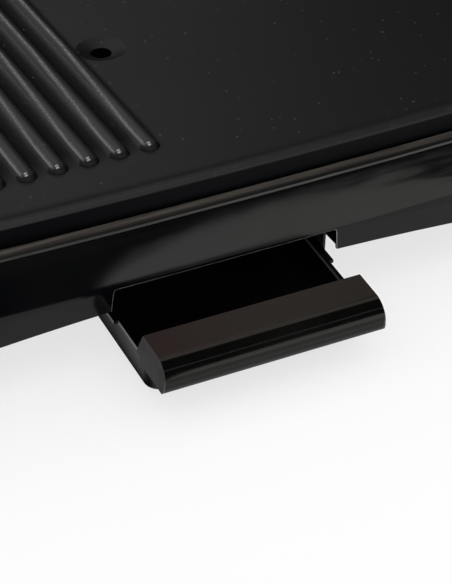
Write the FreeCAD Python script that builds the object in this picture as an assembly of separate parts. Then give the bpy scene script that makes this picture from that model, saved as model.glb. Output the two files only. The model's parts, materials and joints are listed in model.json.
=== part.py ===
import FreeCAD, Part
import math
import os

V = FreeCAD.Vector

# Plan of the moulded base, in millimetres. X runs along the long side, Y to the back, Z up.
# Shapes are drawn about the middle of the base, on the table. They are saved about the middle of
# the whole grill, drip tray included, which lies further to the front.
frame_length = 490.0
frame_depth = 270.0
long_side_bow_radius = 4170.0
short_side_bow_radius = 2200.0
corner_radius = 38.0

# Skirt: heights over the table, and its arched lower edge with the strip above it.
skirt_top = 67.3
skirt_wall = 2.4
arch_height = 29.0
arch_radius = 1228.0
arch_blend_radius = 60.0
strip_height = 12.0
strip_lean = 1.2
skirt_edge_round = 1.0
groove_height = 0.9

# Bezel ring that lies on the skirt round the plate.
bezel_width = 5.4
bezel_rise = 2.6
bezel_groove = 1.0
bezel_bead_inset = 0.3
bezel_bead_rise = 1.3
bezel_bead_bulge = 0.29
bezel_crown_bulge = 0.26
bezel_crest_round = 0.5
bezel_seat_drop = 0.8
bezel_leg_gap = 0.3
bezel_leg_depth = 7.0
bezel_leg_wall = 1.6

# Cast grill plate.
plate_gap = 0.6
plate_rise = 11.2
plate_thickness = 5.0
plate_rim_rise = 2.0
plate_wall_sink = 3.3
plate_wall = 4.0
rim_width = 14.0
rim_round = 1.6
rim_wall_draft = 0.5
rim_crown_width = 7.4
rim_crown_drop = 0.85
rim_crown_bulge = 0.22
rim_slope_bulge = 0.31
rib_pitch = 14.6
rib_base = 10.2
rib_crown = 6.6
rib_height = 3.0
rib_shoulder = 2.1
rib_edge_round = 0.7
rib_end_gap = 33.0
first_rib_x = -17.2
last_rib_inset = 50.0
drain_radius = 5.0
drain_funnel_radius = 12.0
drain_funnel_depth = 2.2
spout_wall = 2.0
spout_taper = 1.5
spout_drop = 10.5

# Deck inside the skirt, which carries the plate and the heat shield.
deck_sink = 12.8
deck_thickness = 2.5
deck_width = 30.0
boss_radius = 6.0
spacer_radius = 6.5
spacer_hole_radius = 2.6
spacer_end_inset = 55.0
spacer_face_inset = 17.6692
plate_boss_height = 8.0

# Heat shield pan.
shield_sheet = 0.8
shield_flange = 8.0
shield_fit = 0.6
shield_depth = 9.0
shield_draw = 5.0
shield_hole_clearance = 4.0
shield_bush_clearance = 0.5
shield_screw_end_inset = 95.0

# Heating element under the plate.
element_radius = 3.5
element_sink = 0.2
element_fit = 0.1
element_bend = 36.0
element_front_inset = 63.0
element_left_inset = 73.0
element_right_inset = 85.0
channel_edge = 3.4
clamp_sheet = 1.0
clamp_width = 10.0
clamp_hump_spare = 0.4
clamp_left_reach = 94.0
clamp_back_reach = 66.0
clamp_front_reach = 76.0
clamp_left_y = 6.0
clamp_right_y = -10.0

# Socket for the plug-in heat control, at the right-hand end.
socket_inset = 65.0
socket_width = 44.0
socket_height = 21.0
socket_depth = 34.0
socket_wall = 2.2
socket_setback = 3.5
socket_clearance = 1.0
socket_corner = 5.0
socket_ear = 10.0
socket_ear_width = 12.0
socket_lug_radius = 4.5
pin_radius = 2.4
pin_spacing = 20.0
pin_length = 26.0
pin_fit = 0.05
pin_tip_round = 1.2
insulator_radius = 5.2
insulator_neck = 4.0
insulator_flange = 3.0
insulator_length = 9.0
insulator_fit = 0.1
probe_radius = 3.4
probe_length = 36.0
probe_boss_wall = 1.9
probe_end_wall = 4.0
probe_clearance = 0.4
element_bend_inset = 59.0
element_bend_slope = 60.0
element_bend_radius = 10.0
channel_end_inset = 67.0

# Notch in the skirt for the drip tray.
notch_side_gap = 2.1
notch_crease_gap = 0.59
notch_draft = 0.94
notch_corner = 1.6
notch_edge_round = 0.4
notch_tool_depth = 30.0

# Drip tray, given in its own frame: y back and z up from the grip's rear top edge.
tray_slope = 5.4
tray_out_reach = 24.6
tray_out_rise = 1.7
tray_half_width = 52.4
grip_side_overhang = 1.0
grip_fit = 0.05
tray_wall = 1.8
tray_height = 15.9
tray_rim_drop = 11.5
tray_front_y = -8.0
tray_length = 158.0
tray_corner = 7.0
tray_floor_round = 4.0
tray_base_round = 2.5
tray_margin_width = 17.9
tray_margin_step = 0.5
tray_margin_rise = 1.6
grip_depth = 23.4
grip_flat = 14.5
grip_height = 14.5
grip_nose_drop = 10.0
grip_tuck = 1.0
grip_shoulder_bulge = 3.3
grip_front_bulge = 0.35
grip_wall = 2.0
grip_end_lean = 0.09
grip_boss_inset = 17.4
grip_tail = 4.1
grip_boss_radius = 3.2

# Rails that carry the tray, and the beams that carry the rails.
runner_width = 2.1
runner_height = 1.6
runner_drop = 11.5
runner_start = 34.0
rail_side_clearance = 0.3
rail_wall = 1.2
rail_lip = 2.0
rail_lip_setback = 11.5
rail_lip_thickness = 1.2
rail_lift_clearance = 0.3
rail_front_inset = 11.8
rail_back_inset = 181.0
rail_web_drop = 2.0
rail_front_lean = 1.6
rail_stop = 8.0
rail_screw_drop = 5.0
rail_screw_front = 14.0
rail_screw_middle = 110.0
rail_screw_back = 12.0
beam_wall = 2.4
beam_shield_gap = 1.5

# Feet.
foot_end_inset = 38.0
foot_side_inset = 35.0
foot_height = 9.0
foot_radius = 13.0
foot_taper = 1.5
foot_edge_round = 1.0
foot_well_depth = 4.5
foot_well_clearance = 0.8
post_radius = 9.0
post_web = 2.4
post_web_rise = 4.0

# Side handles.
handle_span = 84.0
handle_reach = 33.0
handle_bar = 13.0
handle_height = 14.0
handle_sink = 29.3
handle_round = 3.0
handle_corner = 16.0
handle_inner_corner = 8.0
handle_screw_y = 33.0

# Fasteners: shank radius, head radius, head height. Lengths run from under the head.
small_screw = (1.5, 3.0, 1.6)
large_screw = (2.0, 4.0, 2.2)
screw_clearance = 0.1
screw_crown_share = 0.4
foot_screw_length = 22.0
shield_screw_length = 5.0
clamp_screw_length = 4.5
grip_screw_length = 7.0
socket_screw_bite = 6.0
handle_screw_bite = 10.0
rail_screw_spare = 0.1

# Aids for building the shapes: how far joined shapes run into one another, how far cutting tools
# reach outside, how close a place or a direction has to be for an edge to be picked. A quarter round bulges from
# its chord by quarter_bulge times its radius.
weld = 0.5
outside_room = 20.0
near = 0.01
quarter_bulge = 1 - math.sqrt(0.5)
straight = 0.99
UP = V(0, 0, 1)
ALONG_X = V(1, 0, 0)
ALONG_Y = V(0, 1, 0)

notch_half_width = tray_half_width + notch_side_gap
grip_half_width = tray_half_width + grip_side_overhang
tray_margin_x = tray_half_width - tray_margin_width
grip_boss_x = tray_half_width - grip_boss_inset
element_drop = element_radius - element_sink
clamp_hole_offset = element_radius + element_fit + clamp_sheet + small_screw[1]
channel_half_width = clamp_hole_offset + channel_edge
half_length = frame_length / 2
half_depth = frame_depth / 2
plate_top = skirt_top + plate_rise
plate_wall_top = plate_top + plate_rim_rise
plate_wall_bottom = skirt_top - plate_wall_sink
deck_top = skirt_top - deck_sink
spout_bottom = deck_top - spout_drop
handle_bottom = skirt_top - handle_sink
foot_x = half_length - foot_end_inset
foot_y = half_depth - foot_side_inset
socket_y = half_depth - socket_inset
element_front_y = element_front_inset - half_depth
element_left_x = element_left_inset - half_length
element_right_x = half_length - element_right_inset
element_bend_x = half_length - element_bend_inset
channel_end_x = half_length - channel_end_inset
tray_out_y = -half_depth - tray_out_reach
tray_out_z = arch_height + tray_out_rise
rail_front_y = rail_front_inset - half_depth
rail_back_y = rail_back_inset - half_depth
beam_top = deck_top - shield_depth - beam_shield_gap
rail_web_top = beam_top - rail_web_drop
skirt_base = 0.0
through = 400.0
bezel_top = skirt_top + groove_height + bezel_rise
plate_inset = bezel_width + plate_gap
plate_underside = plate_top - plate_thickness
deck_bottom = deck_top - deck_thickness
strip_top = arch_height + strip_height
element_z = plate_underside - element_drop
element_back_y = socket_y + pin_spacing / 2
socket_floor = plate_wall_bottom - socket_height - 1.0
socket_middle = socket_floor + socket_height / 2
socket_x1 = half_length - socket_setback
socket_x0 = socket_x1 - socket_depth
element_end_x = socket_x0 - insulator_flange
rail_inner_x = tray_half_width + runner_width + rail_side_clearance
beam_inner_x = rail_inner_x + rail_wall
tray_floor_z = -tray_rim_drop - tray_height
slope = math.radians(tray_slope)
grip_front_y = tray_out_y - grip_depth * math.cos(slope)
origin_forward = -(half_depth + grip_front_y) / 2


def corner_center():
    """Centre of the front right corner's round, which touches both bowed sides from inside."""
    long_y = long_side_bow_radius - half_depth
    short_x = half_length - short_side_bow_radius
    reach_long = long_side_bow_radius - corner_radius
    reach_short = short_side_bow_radius - corner_radius
    span = math.hypot(short_x, long_y)
    along = (reach_long ** 2 - reach_short ** 2 + span ** 2) / (2 * span)
    across = math.sqrt(reach_long ** 2 - along ** 2)
    ux = short_x / span
    uy = -long_y / span
    return V(along * ux - across * uy, long_y + along * uy + across * ux, 0)


CORNER = corner_center()


def plan_points(inset):
    """Tangent points and middle of one corner, for an outline inset from the skirt's face."""
    radius = corner_radius - inset
    from_long = (CORNER - V(0, long_side_bow_radius - half_depth, 0)).normalize()
    from_short = (CORNER - V(half_length - short_side_bow_radius, 0, 0)).normalize()
    middle = (from_long + from_short).normalize()
    return [CORNER + direction * radius for direction in (from_long, middle, from_short)]


def plan_wire(inset, z):
    """Plan outline of four bowed sides and round corners, started at the middle of the front."""
    a, m, b = plan_points(inset)
    y_front = -half_depth + inset
    x_end = half_length - inset
    turn = [
        ((0, y_front), None, (a.x, a.y)),
        ((a.x, a.y), (m.x, m.y), (b.x, b.y)),
        ((b.x, b.y), (x_end, 0), (b.x, -b.y)),
        ((b.x, -b.y), (m.x, -m.y), (a.x, -a.y)),
        ((a.x, -a.y), (0, -y_front), (-a.x, -a.y)),
        ((-a.x, -a.y), (-m.x, -m.y), (-b.x, -b.y)),
        ((-b.x, -b.y), (-x_end, 0), (-b.x, b.y)),
        ((-b.x, b.y), (-m.x, m.y), (-a.x, a.y)),
        ((-a.x, a.y), None, (0, y_front)),
    ]
    edges = []
    for start, middle, end in turn:
        if middle is None:
            x = (start[0] + end[0]) / 2
            radius = long_side_bow_radius - inset
            middle = (x, y_front + radius - math.sqrt(radius ** 2 - x ** 2))
        edges.append(Part.Arc(V(*start, z), V(*middle, z), V(*end, z)).toShape())
    return Part.Wire(edges)


def plan_slab(inset, z0, z1):
    return Part.Face(plan_wire(inset, z0)).extrude(V(0, 0, z1 - z0))


def plan_ring(outer_inset, inner_inset, z0, z1):
    return plan_slab(outer_inset, z0, z1).cut(plan_slab(inner_inset, z0 - 1, z1 + 1))


def swept_ring(profile):
    """Carry a closed profile round the plan outline. Its edges lie in X = 0 at the front."""
    section = Part.Face(profile)
    turns = []
    for edge in plan_wire(0, 0).Edges:
        center = edge.Curve.Center
        start = edge.valueAt(edge.FirstParameter)
        end = edge.valueAt(edge.LastParameter)
        heading = math.degrees(math.atan2(start.y - center.y, start.x - center.x))
        turn = math.degrees(math.atan2(end.y - center.y, end.x - center.x)) - heading
        piece = section.copy()
        piece.translate(start - front_point(0, 0))
        piece.rotate(start, UP, heading + 90)
        turns.append(piece.revolve(V(center.x, center.y, 0), UP, turn % 360))
    return turns[0].multiFuse(turns[1:]).removeSplitter()


def front_point(inset, z):
    """Point of a swept profile, a distance behind the middle of the skirt's front face."""
    return V(0, -half_depth + inset, z)


def lines(points, closed=True):
    ends = points[1:] + points[:1] if closed else points[1:]
    return [Part.LineSegment(p, q).toShape() for p, q in zip(points, ends)]


def prism(points, direction):
    return Part.Face(Part.Wire(lines(points))).extrude(direction)


def box(x0, x1, y0, y1, z0, z1):
    return Part.makeBox(x1 - x0, y1 - y0, z1 - z0, V(x0, y0, z0))


def rod(point, direction, radius, length):
    return Part.makeCylinder(radius, length, point, direction)


def screw_hole(point, direction, size, length):
    return rod(point, direction, size[0] + screw_clearance, length)


def runs_along(axis):
    """Test for edges that set off along an axis."""
    return lambda edge: abs(edge.tangentAt(edge.FirstParameter).dot(axis)) > straight


def bulged(start, end, bulge):
    """Arc between two points of an upright section. It bulges to the left by a given height."""
    chord = end - start
    left = V(0, -chord.z, chord.y).normalize()
    return Part.Arc(start, (start + end) * 0.5 + left * bulge, end).toShape()


def straight_edge(start, end):
    return Part.LineSegment(start, end).toShape()


def screw(point, direction, size, length):
    """Pan-head screw whose head bears at a point; the shank runs along the direction."""
    shank_radius, head_radius, head_height = size
    shank = rod(point, direction, shank_radius, length)
    crown_height = head_height * screw_crown_share
    side_height = head_height - crown_height
    side = rod(point - direction * side_height, direction, head_radius, side_height)
    tip = point - direction * head_height
    crown = Part.makeCone(head_radius - crown_height, head_radius, crown_height, tip, direction)
    return shank.multiFuse([side, crown]).removeSplitter()


def group(solids):
    return Part.makeCompound(solids)


def round_edges(shape, radius, wanted):
    return shape.makeFillet(radius, [e for e in shape.Edges if wanted(e)])


def one_solid(shape):
    """The single solid of a finished shape, with the seams between its faces merged."""
    shape = shape.removeSplitter()
    return shape.Solids[0] if len(shape.Solids) == 1 else shape


def arch_points(z_mid):
    """Centre, touching point and foot of the arched lower edge, whose middle is at z_mid."""
    foot_x = CORNER.x
    blend = arch_blend_radius
    rise = math.sqrt((arch_radius + blend) ** 2 - foot_x ** 2)
    z_end = rise - blend + z_mid - arch_radius
    touch = arch_radius / (arch_radius + blend)
    touch_point = (foot_x * touch, z_mid - arch_radius + rise * touch)
    return foot_x, z_end, touch_point


def arch_z(x, z_mid):
    """Height of the arched edge at a distance x from the middle of the long side."""
    foot_x, z_end, touch = arch_points(z_mid)
    x = abs(x)
    if x <= touch[0]:
        return z_mid - arch_radius + math.sqrt(arch_radius ** 2 - x ** 2)
    if x >= foot_x:
        return z_end
    return z_end + arch_blend_radius - math.sqrt(arch_blend_radius ** 2 - (foot_x - x) ** 2)


def under_arch():
    """Everything below the skirt's lower edge, right through from front to back."""
    foot_x, z_end, touch = arch_points(arch_height)
    blend_x = (touch[0] + foot_x) / 2
    out = half_length + outside_room
    y = -half_depth - outside_room
    blend_z = arch_z(blend_x, arch_height)
    left = Part.Arc(V(-foot_x, y, z_end), V(-blend_x, y, blend_z), V(-touch[0], y, touch[1]))
    crown = Part.Arc(V(-touch[0], y, touch[1]), V(0, y, arch_height), V(touch[0], y, touch[1]))
    right = Part.Arc(V(touch[0], y, touch[1]), V(blend_x, y, blend_z), V(foot_x, y, z_end))
    rest = [
        V(foot_x, y, z_end),
        V(out, y, z_end),
        V(out, y, -outside_room),
        V(-out, y, -outside_room),
        V(-out, y, z_end),
        V(-foot_x, y, z_end),
    ]
    edges = [curve.toShape() for curve in (left, crown, right)] + lines(rest, closed=False)
    return Part.Face(Part.Wire(edges)).extrude(V(0, frame_depth + 2 * outside_room, 0))


def face_y(x):
    """Y of the skirt's bowed front face."""
    return -half_depth + long_side_bow_radius - math.sqrt(long_side_bow_radius ** 2 - x ** 2)


def strip_wedge():
    """What is pared off the front face below the crease, so that the strip leans in."""
    stations = 11
    overrun = 1.0
    reach = 3.0
    lean = strip_lean * (strip_height + overrun) / strip_height
    span = arch_points(arch_height)[0]
    sections = []
    for i in range(stations):
        x = span * math.sin(math.pi / 2 * (2 * i / (stations - 1) - 1))
        y = face_y(x)
        high = arch_z(x, strip_top)
        low = arch_z(x, arch_height) - overrun
        corners = [V(x, y - reach, high), V(x, y, high), V(x, y + lean, low), V(x, y - reach, low)]
        sections.append(Part.Wire(lines(corners)))
    return Part.makeLoft(sections, True, False)


def strip_wedge_ends():
    """The same paring round the corners and along the short ends, where the edge is level."""
    foot_x, z_end, touch = arch_points(arch_height)
    overrun = 1.0
    low = z_end - overrun
    high = z_end + strip_height
    lean = strip_lean * (strip_height + overrun) / strip_height
    core = Part.makeLoft([plan_wire(lean, low), plan_wire(0, high)], True, True)
    ring = plan_slab(-outside_room / 2, low, high).cut(core)
    return ring.cut(box(-foot_x, foot_x, -through, through, low - 1, high + 1))


def mirror_y(shape):
    return shape.mirror(V(0, 0, 0), ALONG_Y)


def mirror_x(shape):
    return shape.mirror(V(0, 0, 0), ALONG_X)


def foot_places():
    return [V(sx * foot_x, sy * foot_y, 0) for sx in (-1, 1) for sy in (-1, 1)]


def spacer_places():
    x_end = half_length - spacer_end_inset
    y = -face_y(x_end) - spacer_face_inset
    return [V(x, sy * y, 0) for x in (-x_end, 0, x_end) for sy in (-1, 1)]


def shield_screw_places():
    y = half_depth - deck_width + shield_flange / 2
    x_end = half_length - shield_screw_end_inset
    return [V(x, sy * y, 0) for x in (-x_end, -x_end / 3, x_end / 3, x_end) for sy in (-1, 1)]


def rail_screw_places(side):
    x = side * (beam_inner_x + beam_wall)
    z = rail_web_top - rail_screw_drop
    y_middle = rail_screw_middle - half_depth
    places = (rail_front_y + rail_screw_front, y_middle, rail_back_y - rail_screw_back)
    return [V(x, y, z) for y in places]


def handle_screw_places(side):
    x = side * (half_length - skirt_wall)
    z = handle_bottom + handle_height / 2
    bow = end_bow(handle_screw_y + large_screw[1])
    return [V(x - side * bow, y, z) for y in (-handle_screw_y, handle_screw_y)]


def end_bow(y):
    """How far the bowed short end falls back at a distance y from its middle."""
    return short_side_bow_radius - math.sqrt(short_side_bow_radius ** 2 - y ** 2)


def socket_opening(clearance):
    """Block that fills the socket's outline, grown by a clearance, through the end wall."""
    half = socket_width / 2 + clearance
    z0 = socket_floor - clearance
    z1 = socket_floor + socket_height + clearance
    x0 = socket_x0 - clearance
    block = box(x0, half_length + outside_room, socket_y - half, socket_y + half, z0, z1)
    return round_edges(block, socket_corner + clearance, runs_along(ALONG_X))


def notch_top():
    """Height of the notch's level top, which stays a little below the strip's crease."""
    return arch_z(notch_half_width, strip_top) - notch_crease_gap


def notch_cutter():
    z_top = notch_top()
    z_low = arch_height - notch_tool_depth
    low_half = notch_half_width + notch_draft * (z_top - z_low) / (z_top - arch_height)
    y = -half_depth - outside_room
    points = [
        V(-notch_half_width, y, z_top),
        V(notch_half_width, y, z_top),
        V(low_half, y, z_low),
        V(-low_half, y, z_low),
    ]
    tool = prism(points, V(0, outside_room + skirt_wall + 2, 0))
    upper = [e for e in tool.Edges if e.CenterOfMass.z > z_top - near and runs_along(ALONG_Y)(e)]
    return tool.makeFillet(notch_corner, upper)


def on_notch_edge(edge):
    """Whether an edge is part of the notch's outline on the skirt's front face."""
    middle = edge.valueAt((edge.FirstParameter + edge.LastParameter) / 2)
    near_face = abs(middle.y - face_y(middle.x)) < strip_lean + notch_edge_round
    within = abs(middle.x) < notch_half_width + notch_draft + near
    above = arch_height + weld < middle.z < notch_top() + near
    return near_face and within and above


def base_frame():
    """Moulded skirt with its deck, tray beams, corner posts and every hole that it needs."""
    outer = plan_slab(0, skirt_base, skirt_top)
    outer = round_edges(outer, skirt_edge_round, lambda e: e.CenterOfMass.z > skirt_top - near)
    shell = outer.cut(plan_slab(skirt_wall, skirt_base - 1, skirt_top + 1))
    shell = shell.cut(under_arch())
    wedge = strip_wedge()
    for tool in (wedge, mirror_y(wedge), strip_wedge_ends()):
        shell = shell.cut(tool)
    inside = plan_slab(skirt_wall / 2, skirt_base - 1, skirt_top)
    deck = plan_ring(skirt_wall / 2, deck_width, deck_bottom, deck_top)
    parts = [deck]
    for side in (-1, 1):
        x0, x1 = sorted((side * beam_inner_x, side * (beam_inner_x + beam_wall)))
        beam = box(x0, x1, -half_depth, half_depth, arch_height, beam_top)
        parts.append(beam.common(inside))
        for end in (-1, 1):
            y0, y1 = sorted((end * half_depth, end * (half_depth - deck_width + 2)))
            gusset = box(x0, x1, y0, y1, arch_height, deck_bottom + weld)
            parts.append(gusset.common(inside))
    pan_room = plan_slab(deck_width, deck_top - shield_depth - 1, deck_top)
    for place in foot_places():
        post_height = deck_bottom + weld - foot_height
        post = rod(place + UP * foot_height, UP, post_radius, post_height)
        parts.append(post.cut(pan_room))
        x0, x1 = sorted((place.x, math.copysign(half_length, place.x)))
        y0, y1 = sorted((place.y, math.copysign(half_depth, place.y)))
        half = post_web / 2
        z0 = foot_height + post_web_rise
        z1 = deck_bottom + weld
        webs = [
            box(x0, x1, place.y - half, place.y + half, z0, z1),
            box(place.x - half, place.x + half, y0, y1, z0, z1),
        ]
        parts.extend(web.common(inside).cut(pan_room) for web in webs)
    body = shell.multiFuse(parts).cut(notch_cutter())
    body = round_edges(body, notch_edge_round, on_notch_edge)
    cutters = [socket_opening(socket_clearance)]
    under_deck = UP * (deck_bottom - 1)
    foot_hole = foot_well_depth + foot_screw_length + 1
    for place in foot_places():
        cutters.append(screw_hole(place, UP, large_screw, foot_hole))
    for place in spacer_places():
        cutters.append(screw_hole(place + under_deck, UP, large_screw, deck_thickness + 2))
    for place in shield_screw_places():
        cutters.append(screw_hole(place + under_deck, UP, small_screw, deck_thickness + 2))
    for side in (-1, 1):
        outward = ALONG_X * side
        for place in rail_screw_places(side):
            cutters.append(screw_hole(place + outward, -outward, small_screw, beam_wall + 2))
        for place in handle_screw_places(side):
            cutters.append(screw_hole(place - outward, outward, large_screw, skirt_wall + 2))
    return one_solid(body.cut(group(cutters)))


def bezel_ring():
    """Ring with a rounded bead, a shadow groove under it and a leg that drops inside the skirt."""
    z_edge = skirt_top + groove_height
    leg_y = skirt_wall + bezel_leg_gap
    leg_back_y = leg_y + bezel_leg_wall
    p = front_point
    outer_low = p(bezel_bead_inset, z_edge)
    outer_high = p(bezel_bead_rise, z_edge + bezel_bead_rise)
    crest = p(bezel_width - bezel_crest_round, bezel_top)
    crest_back = p(bezel_width, bezel_top - bezel_crest_round)
    edges = [
        straight_edge(p(bezel_groove, skirt_top), p(bezel_groove, z_edge)),
        straight_edge(p(bezel_groove, z_edge), outer_low),
        bulged(outer_low, outer_high, bezel_bead_bulge),
        bulged(outer_high, crest, bezel_crown_bulge),
        bulged(crest, crest_back, bezel_crest_round * quarter_bulge),
    ]
    tail = [
        crest_back,
        p(bezel_width, skirt_top - bezel_seat_drop),
        p(leg_back_y, skirt_top - bezel_seat_drop),
        p(leg_back_y, skirt_top - bezel_leg_depth),
        p(leg_y, skirt_top - bezel_leg_depth),
        p(leg_y, skirt_top),
        p(bezel_groove, skirt_top),
    ]
    ring = swept_ring(Part.Wire(edges + lines(tail, closed=False)))
    return one_solid(ring.cut(socket_opening(socket_clearance)))


def rib(x):
    """One raised rib: sloping sides, a softly domed crown and round ends."""
    y_end = half_depth - plate_inset - rib_end_gap - rib_base / 2
    shoulder_z = plate_top + rib_shoulder
    half_base = rib_base / 2
    half_crown = rib_crown / 2
    rise = rib_height - rib_shoulder
    crown_radius = (half_crown ** 2 + rise ** 2) / (2 * rise)
    slant = [
        V(x - half_base, -y_end, plate_top),
        V(x - half_crown, -y_end, shoulder_z),
        V(x + half_crown, -y_end, shoulder_z),
        V(x + half_base, -y_end, plate_top),
    ]
    length = V(0, 2 * y_end, 0)
    foot = [prism(slant, length)]
    upper = [box(x - half_crown, x + half_crown, -y_end, y_end, shoulder_z, shoulder_z + rib_height)]
    crown_low = V(x, -y_end, plate_top + rib_height - crown_radius)
    dome = [rod(crown_low, ALONG_Y, crown_radius, 2 * y_end)]
    for y in (-y_end, y_end):
        foot.append(Part.makeCone(half_base, half_crown, rib_shoulder, V(x, y, plate_top), UP))
        upper.append(rod(V(x, y, shoulder_z), UP, half_crown, rib_height))
        dome.append(Part.makeSphere(crown_radius, V(x, y, crown_low.z), ALONG_Y))
    crown = upper[0].multiFuse(upper[1:]).common(dome[0].multiFuse(dome[1:]))
    seat = box(x - half_crown, x + half_crown, -y_end, y_end, plate_top - 1, plate_top)
    body = crown.multiFuse(foot + [seat]).removeSplitter()
    level_edges = [e for e in body.Edges if e.BoundBox.ZLength < near]
    shoulder = [e for e in level_edges if abs(e.BoundBox.ZMin - shoulder_z) < near]
    return body.makeFillet(rib_edge_round, shoulder)


def plate_shell():
    """Plate rim swept round the outline, with the flat middle let into it."""
    p = front_point
    outside = plate_inset
    foot_y = outside + rim_wall_draft
    flat_at = outside + rim_width
    crest_z = plate_wall_top
    wall_top = p(outside, crest_z - rim_round)
    crest = p(outside + rim_round, crest_z)
    crown_end = p(outside + rim_crown_width, crest_z - rim_crown_drop)
    edges = [
        straight_edge(p(foot_y, plate_wall_bottom), wall_top),
        bulged(wall_top, crest, rim_round * quarter_bulge),
        bulged(crest, crown_end, rim_crown_bulge),
        bulged(crown_end, p(flat_at, plate_top), -rim_slope_bulge),
    ]
    tail = [
        p(flat_at, plate_top),
        p(flat_at, plate_underside),
        p(outside + plate_wall, plate_underside),
        p(outside + plate_wall, plate_wall_bottom),
        p(foot_y, plate_wall_bottom),
    ]
    ring = swept_ring(Part.Wire(edges + lines(tail, closed=False)))
    return ring.fuse(plan_slab(flat_at, plate_underside, plate_top))


def element_loop(x_end):
    """Centre line of the level part of the element: one long loop whose ends run to the socket."""
    y_inner = socket_y - pin_spacing / 2
    corners = [
        V(element_bend_x, element_back_y, element_z),
        V(element_left_x, element_back_y, element_z),
        V(element_left_x, element_front_y, element_z),
        V(element_right_x, element_front_y, element_z),
        V(element_right_x, y_inner, element_z),
        V(x_end, y_inner, element_z),
    ]
    return rounded_path(corners, [element_bend, element_bend, element_bend, element_bend / 2])


def element_tail(y):
    """Centre line of one end of the element, which steps down to the socket's pins."""
    drop = element_z - socket_middle
    x_low = element_bend_x + drop / math.tan(math.radians(element_bend_slope))
    corners = [
        V(channel_end_x, y, element_z),
        V(element_bend_x, y, element_z),
        V(x_low, y, socket_middle),
        V(element_end_x, y, socket_middle),
    ]
    return rounded_path(corners, [element_bend_radius, element_bend_radius])


def rounded_path(corners, radii):
    """Straight runs joined by tangent arcs of the given radii."""
    edges = []
    start = corners[0]
    for i, radius in enumerate(radii, 1):
        before = (corners[i - 1] - corners[i]).normalize()
        after = (corners[i + 1] - corners[i]).normalize()
        half_turn = (math.pi - before.getAngle(after)) / 2
        reach = radius * math.tan(half_turn)
        to_arc = (before + after).normalize() * (radius / math.cos(half_turn) - radius)
        arc_start = corners[i] + before * reach
        arc_end = corners[i] + after * reach
        edges.append(Part.LineSegment(start, arc_start).toShape())
        edges.append(Part.Arc(arc_start, corners[i] + to_arc, arc_end).toShape())
        start = arc_end
    edges.append(Part.LineSegment(start, corners[-1]).toShape())
    return Part.Wire(edges)


def along(path, profile, upright):
    """Sweep a closed profile, drawn square to the path's start, along the path."""
    sweep = Part.BRepOffsetAPI.MakePipeShell(path)
    sweep.setBiNormalMode(upright)
    sweep.add(profile)
    sweep.build()
    sweep.makeSolid()
    return sweep.shape()


def element_tube(radius):
    """The whole bent tube of the element, or the room it takes, at a given radius."""
    loop_start = V(element_bend_x, element_back_y, element_z)
    loop_circle = Part.Wire(Part.makeCircle(radius, loop_start, ALONG_X))
    level = along(element_loop(element_bend_x), loop_circle, UP)
    level = level.cut(box(channel_end_x, through, -through, through, 0, through))
    tails = []
    for side in (-1, 1):
        y = socket_y + side * pin_spacing / 2
        circle = Part.Wire(Part.makeCircle(radius, V(channel_end_x, y, element_z), ALONG_X))
        tails.append(along(element_tail(y), circle, ALONG_Y))
    return level.multiFuse(tails)


def element_channel():
    """Cast rib under the plate, into whose groove the element is pressed."""
    x = element_bend_x
    y = element_back_y
    half = channel_half_width
    z1 = plate_underside + weld
    corners = [V(x, y - half, element_z), V(x, y + half, element_z), V(x, y + half, z1), V(x, y - half, z1)]
    y_inner = socket_y - pin_spacing / 2
    path_corners = [
        V(x, y, element_z),
        V(element_left_x, y, element_z),
        V(element_left_x, element_front_y, element_z),
        V(element_right_x, element_front_y, element_z),
        V(element_right_x, y_inner - element_bend / 2, element_z),
    ]
    path = rounded_path(path_corners, [element_bend, element_bend, element_bend])
    channel = along(path, Part.Wire(lines(corners)), UP)
    channel = channel.cut(box(channel_end_x, through, -through, through, 0, through))
    x0 = element_right_x - half
    pad = box(x0, channel_end_x, y_inner - element_bend / 2, y + half, element_z, z1)
    return channel.fuse(pad)


def probe_boss():
    """Deep tongue of the casting between the element's ends, which takes the heat probe."""
    half = probe_radius + probe_boss_wall
    x1 = element_end_x
    x0 = x1 - probe_length
    z0 = socket_middle - half
    return box(x0, x1, socket_y - half, socket_y + half, z0, plate_underside + weld)


def clamp_places():
    """Centre and running direction of each strap across the element."""
    back = element_back_y
    front = element_front_y
    middle_x = (element_left_x + element_right_x) / 2
    return [
        (V(middle_x - clamp_left_reach, back, element_z), 0),
        (V(middle_x + clamp_back_reach, back, element_z), 0),
        (V(element_left_x, clamp_left_y, element_z), 90),
        (V(middle_x - clamp_left_reach, front, element_z), 0),
        (V(middle_x + clamp_front_reach, front, element_z), 0),
        (V(element_right_x, clamp_right_y, element_z), 90),
    ]


def clamp_strap(place, turn):
    """Steel strap with a hump over the element and a flat ear on each side."""
    inner = element_radius + element_fit
    outer = inner + clamp_sheet
    ear = channel_half_width
    half = clamp_width / 2

    def at(y, z):
        return V(-half, y, z)

    low = -clamp_sheet
    hump = outer + clamp_hump_spare - clamp_sheet
    edges = [
        straight_edge(at(-ear, 0), at(-inner, 0)),
        bulged(at(-inner, 0), at(inner, 0), -inner),
        straight_edge(at(inner, 0), at(ear, 0)),
        straight_edge(at(ear, 0), at(ear, low)),
        straight_edge(at(ear, low), at(outer, low)),
        bulged(at(outer, low), at(-outer, low), hump),
        straight_edge(at(-outer, low), at(-ear, low)),
        straight_edge(at(-ear, low), at(-ear, 0)),
    ]
    strap = Part.Face(Part.Wire(edges)).extrude(V(clamp_width, 0, 0))
    for side in (-1, 1):
        place_low = V(0, side * clamp_hole_offset, low - 1)
        strap = strap.cut(screw_hole(place_low, UP, small_screw, clamp_sheet + 2))
    strap.rotate(V(0, 0, 0), UP, turn)
    strap.translate(place)
    return strap


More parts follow.
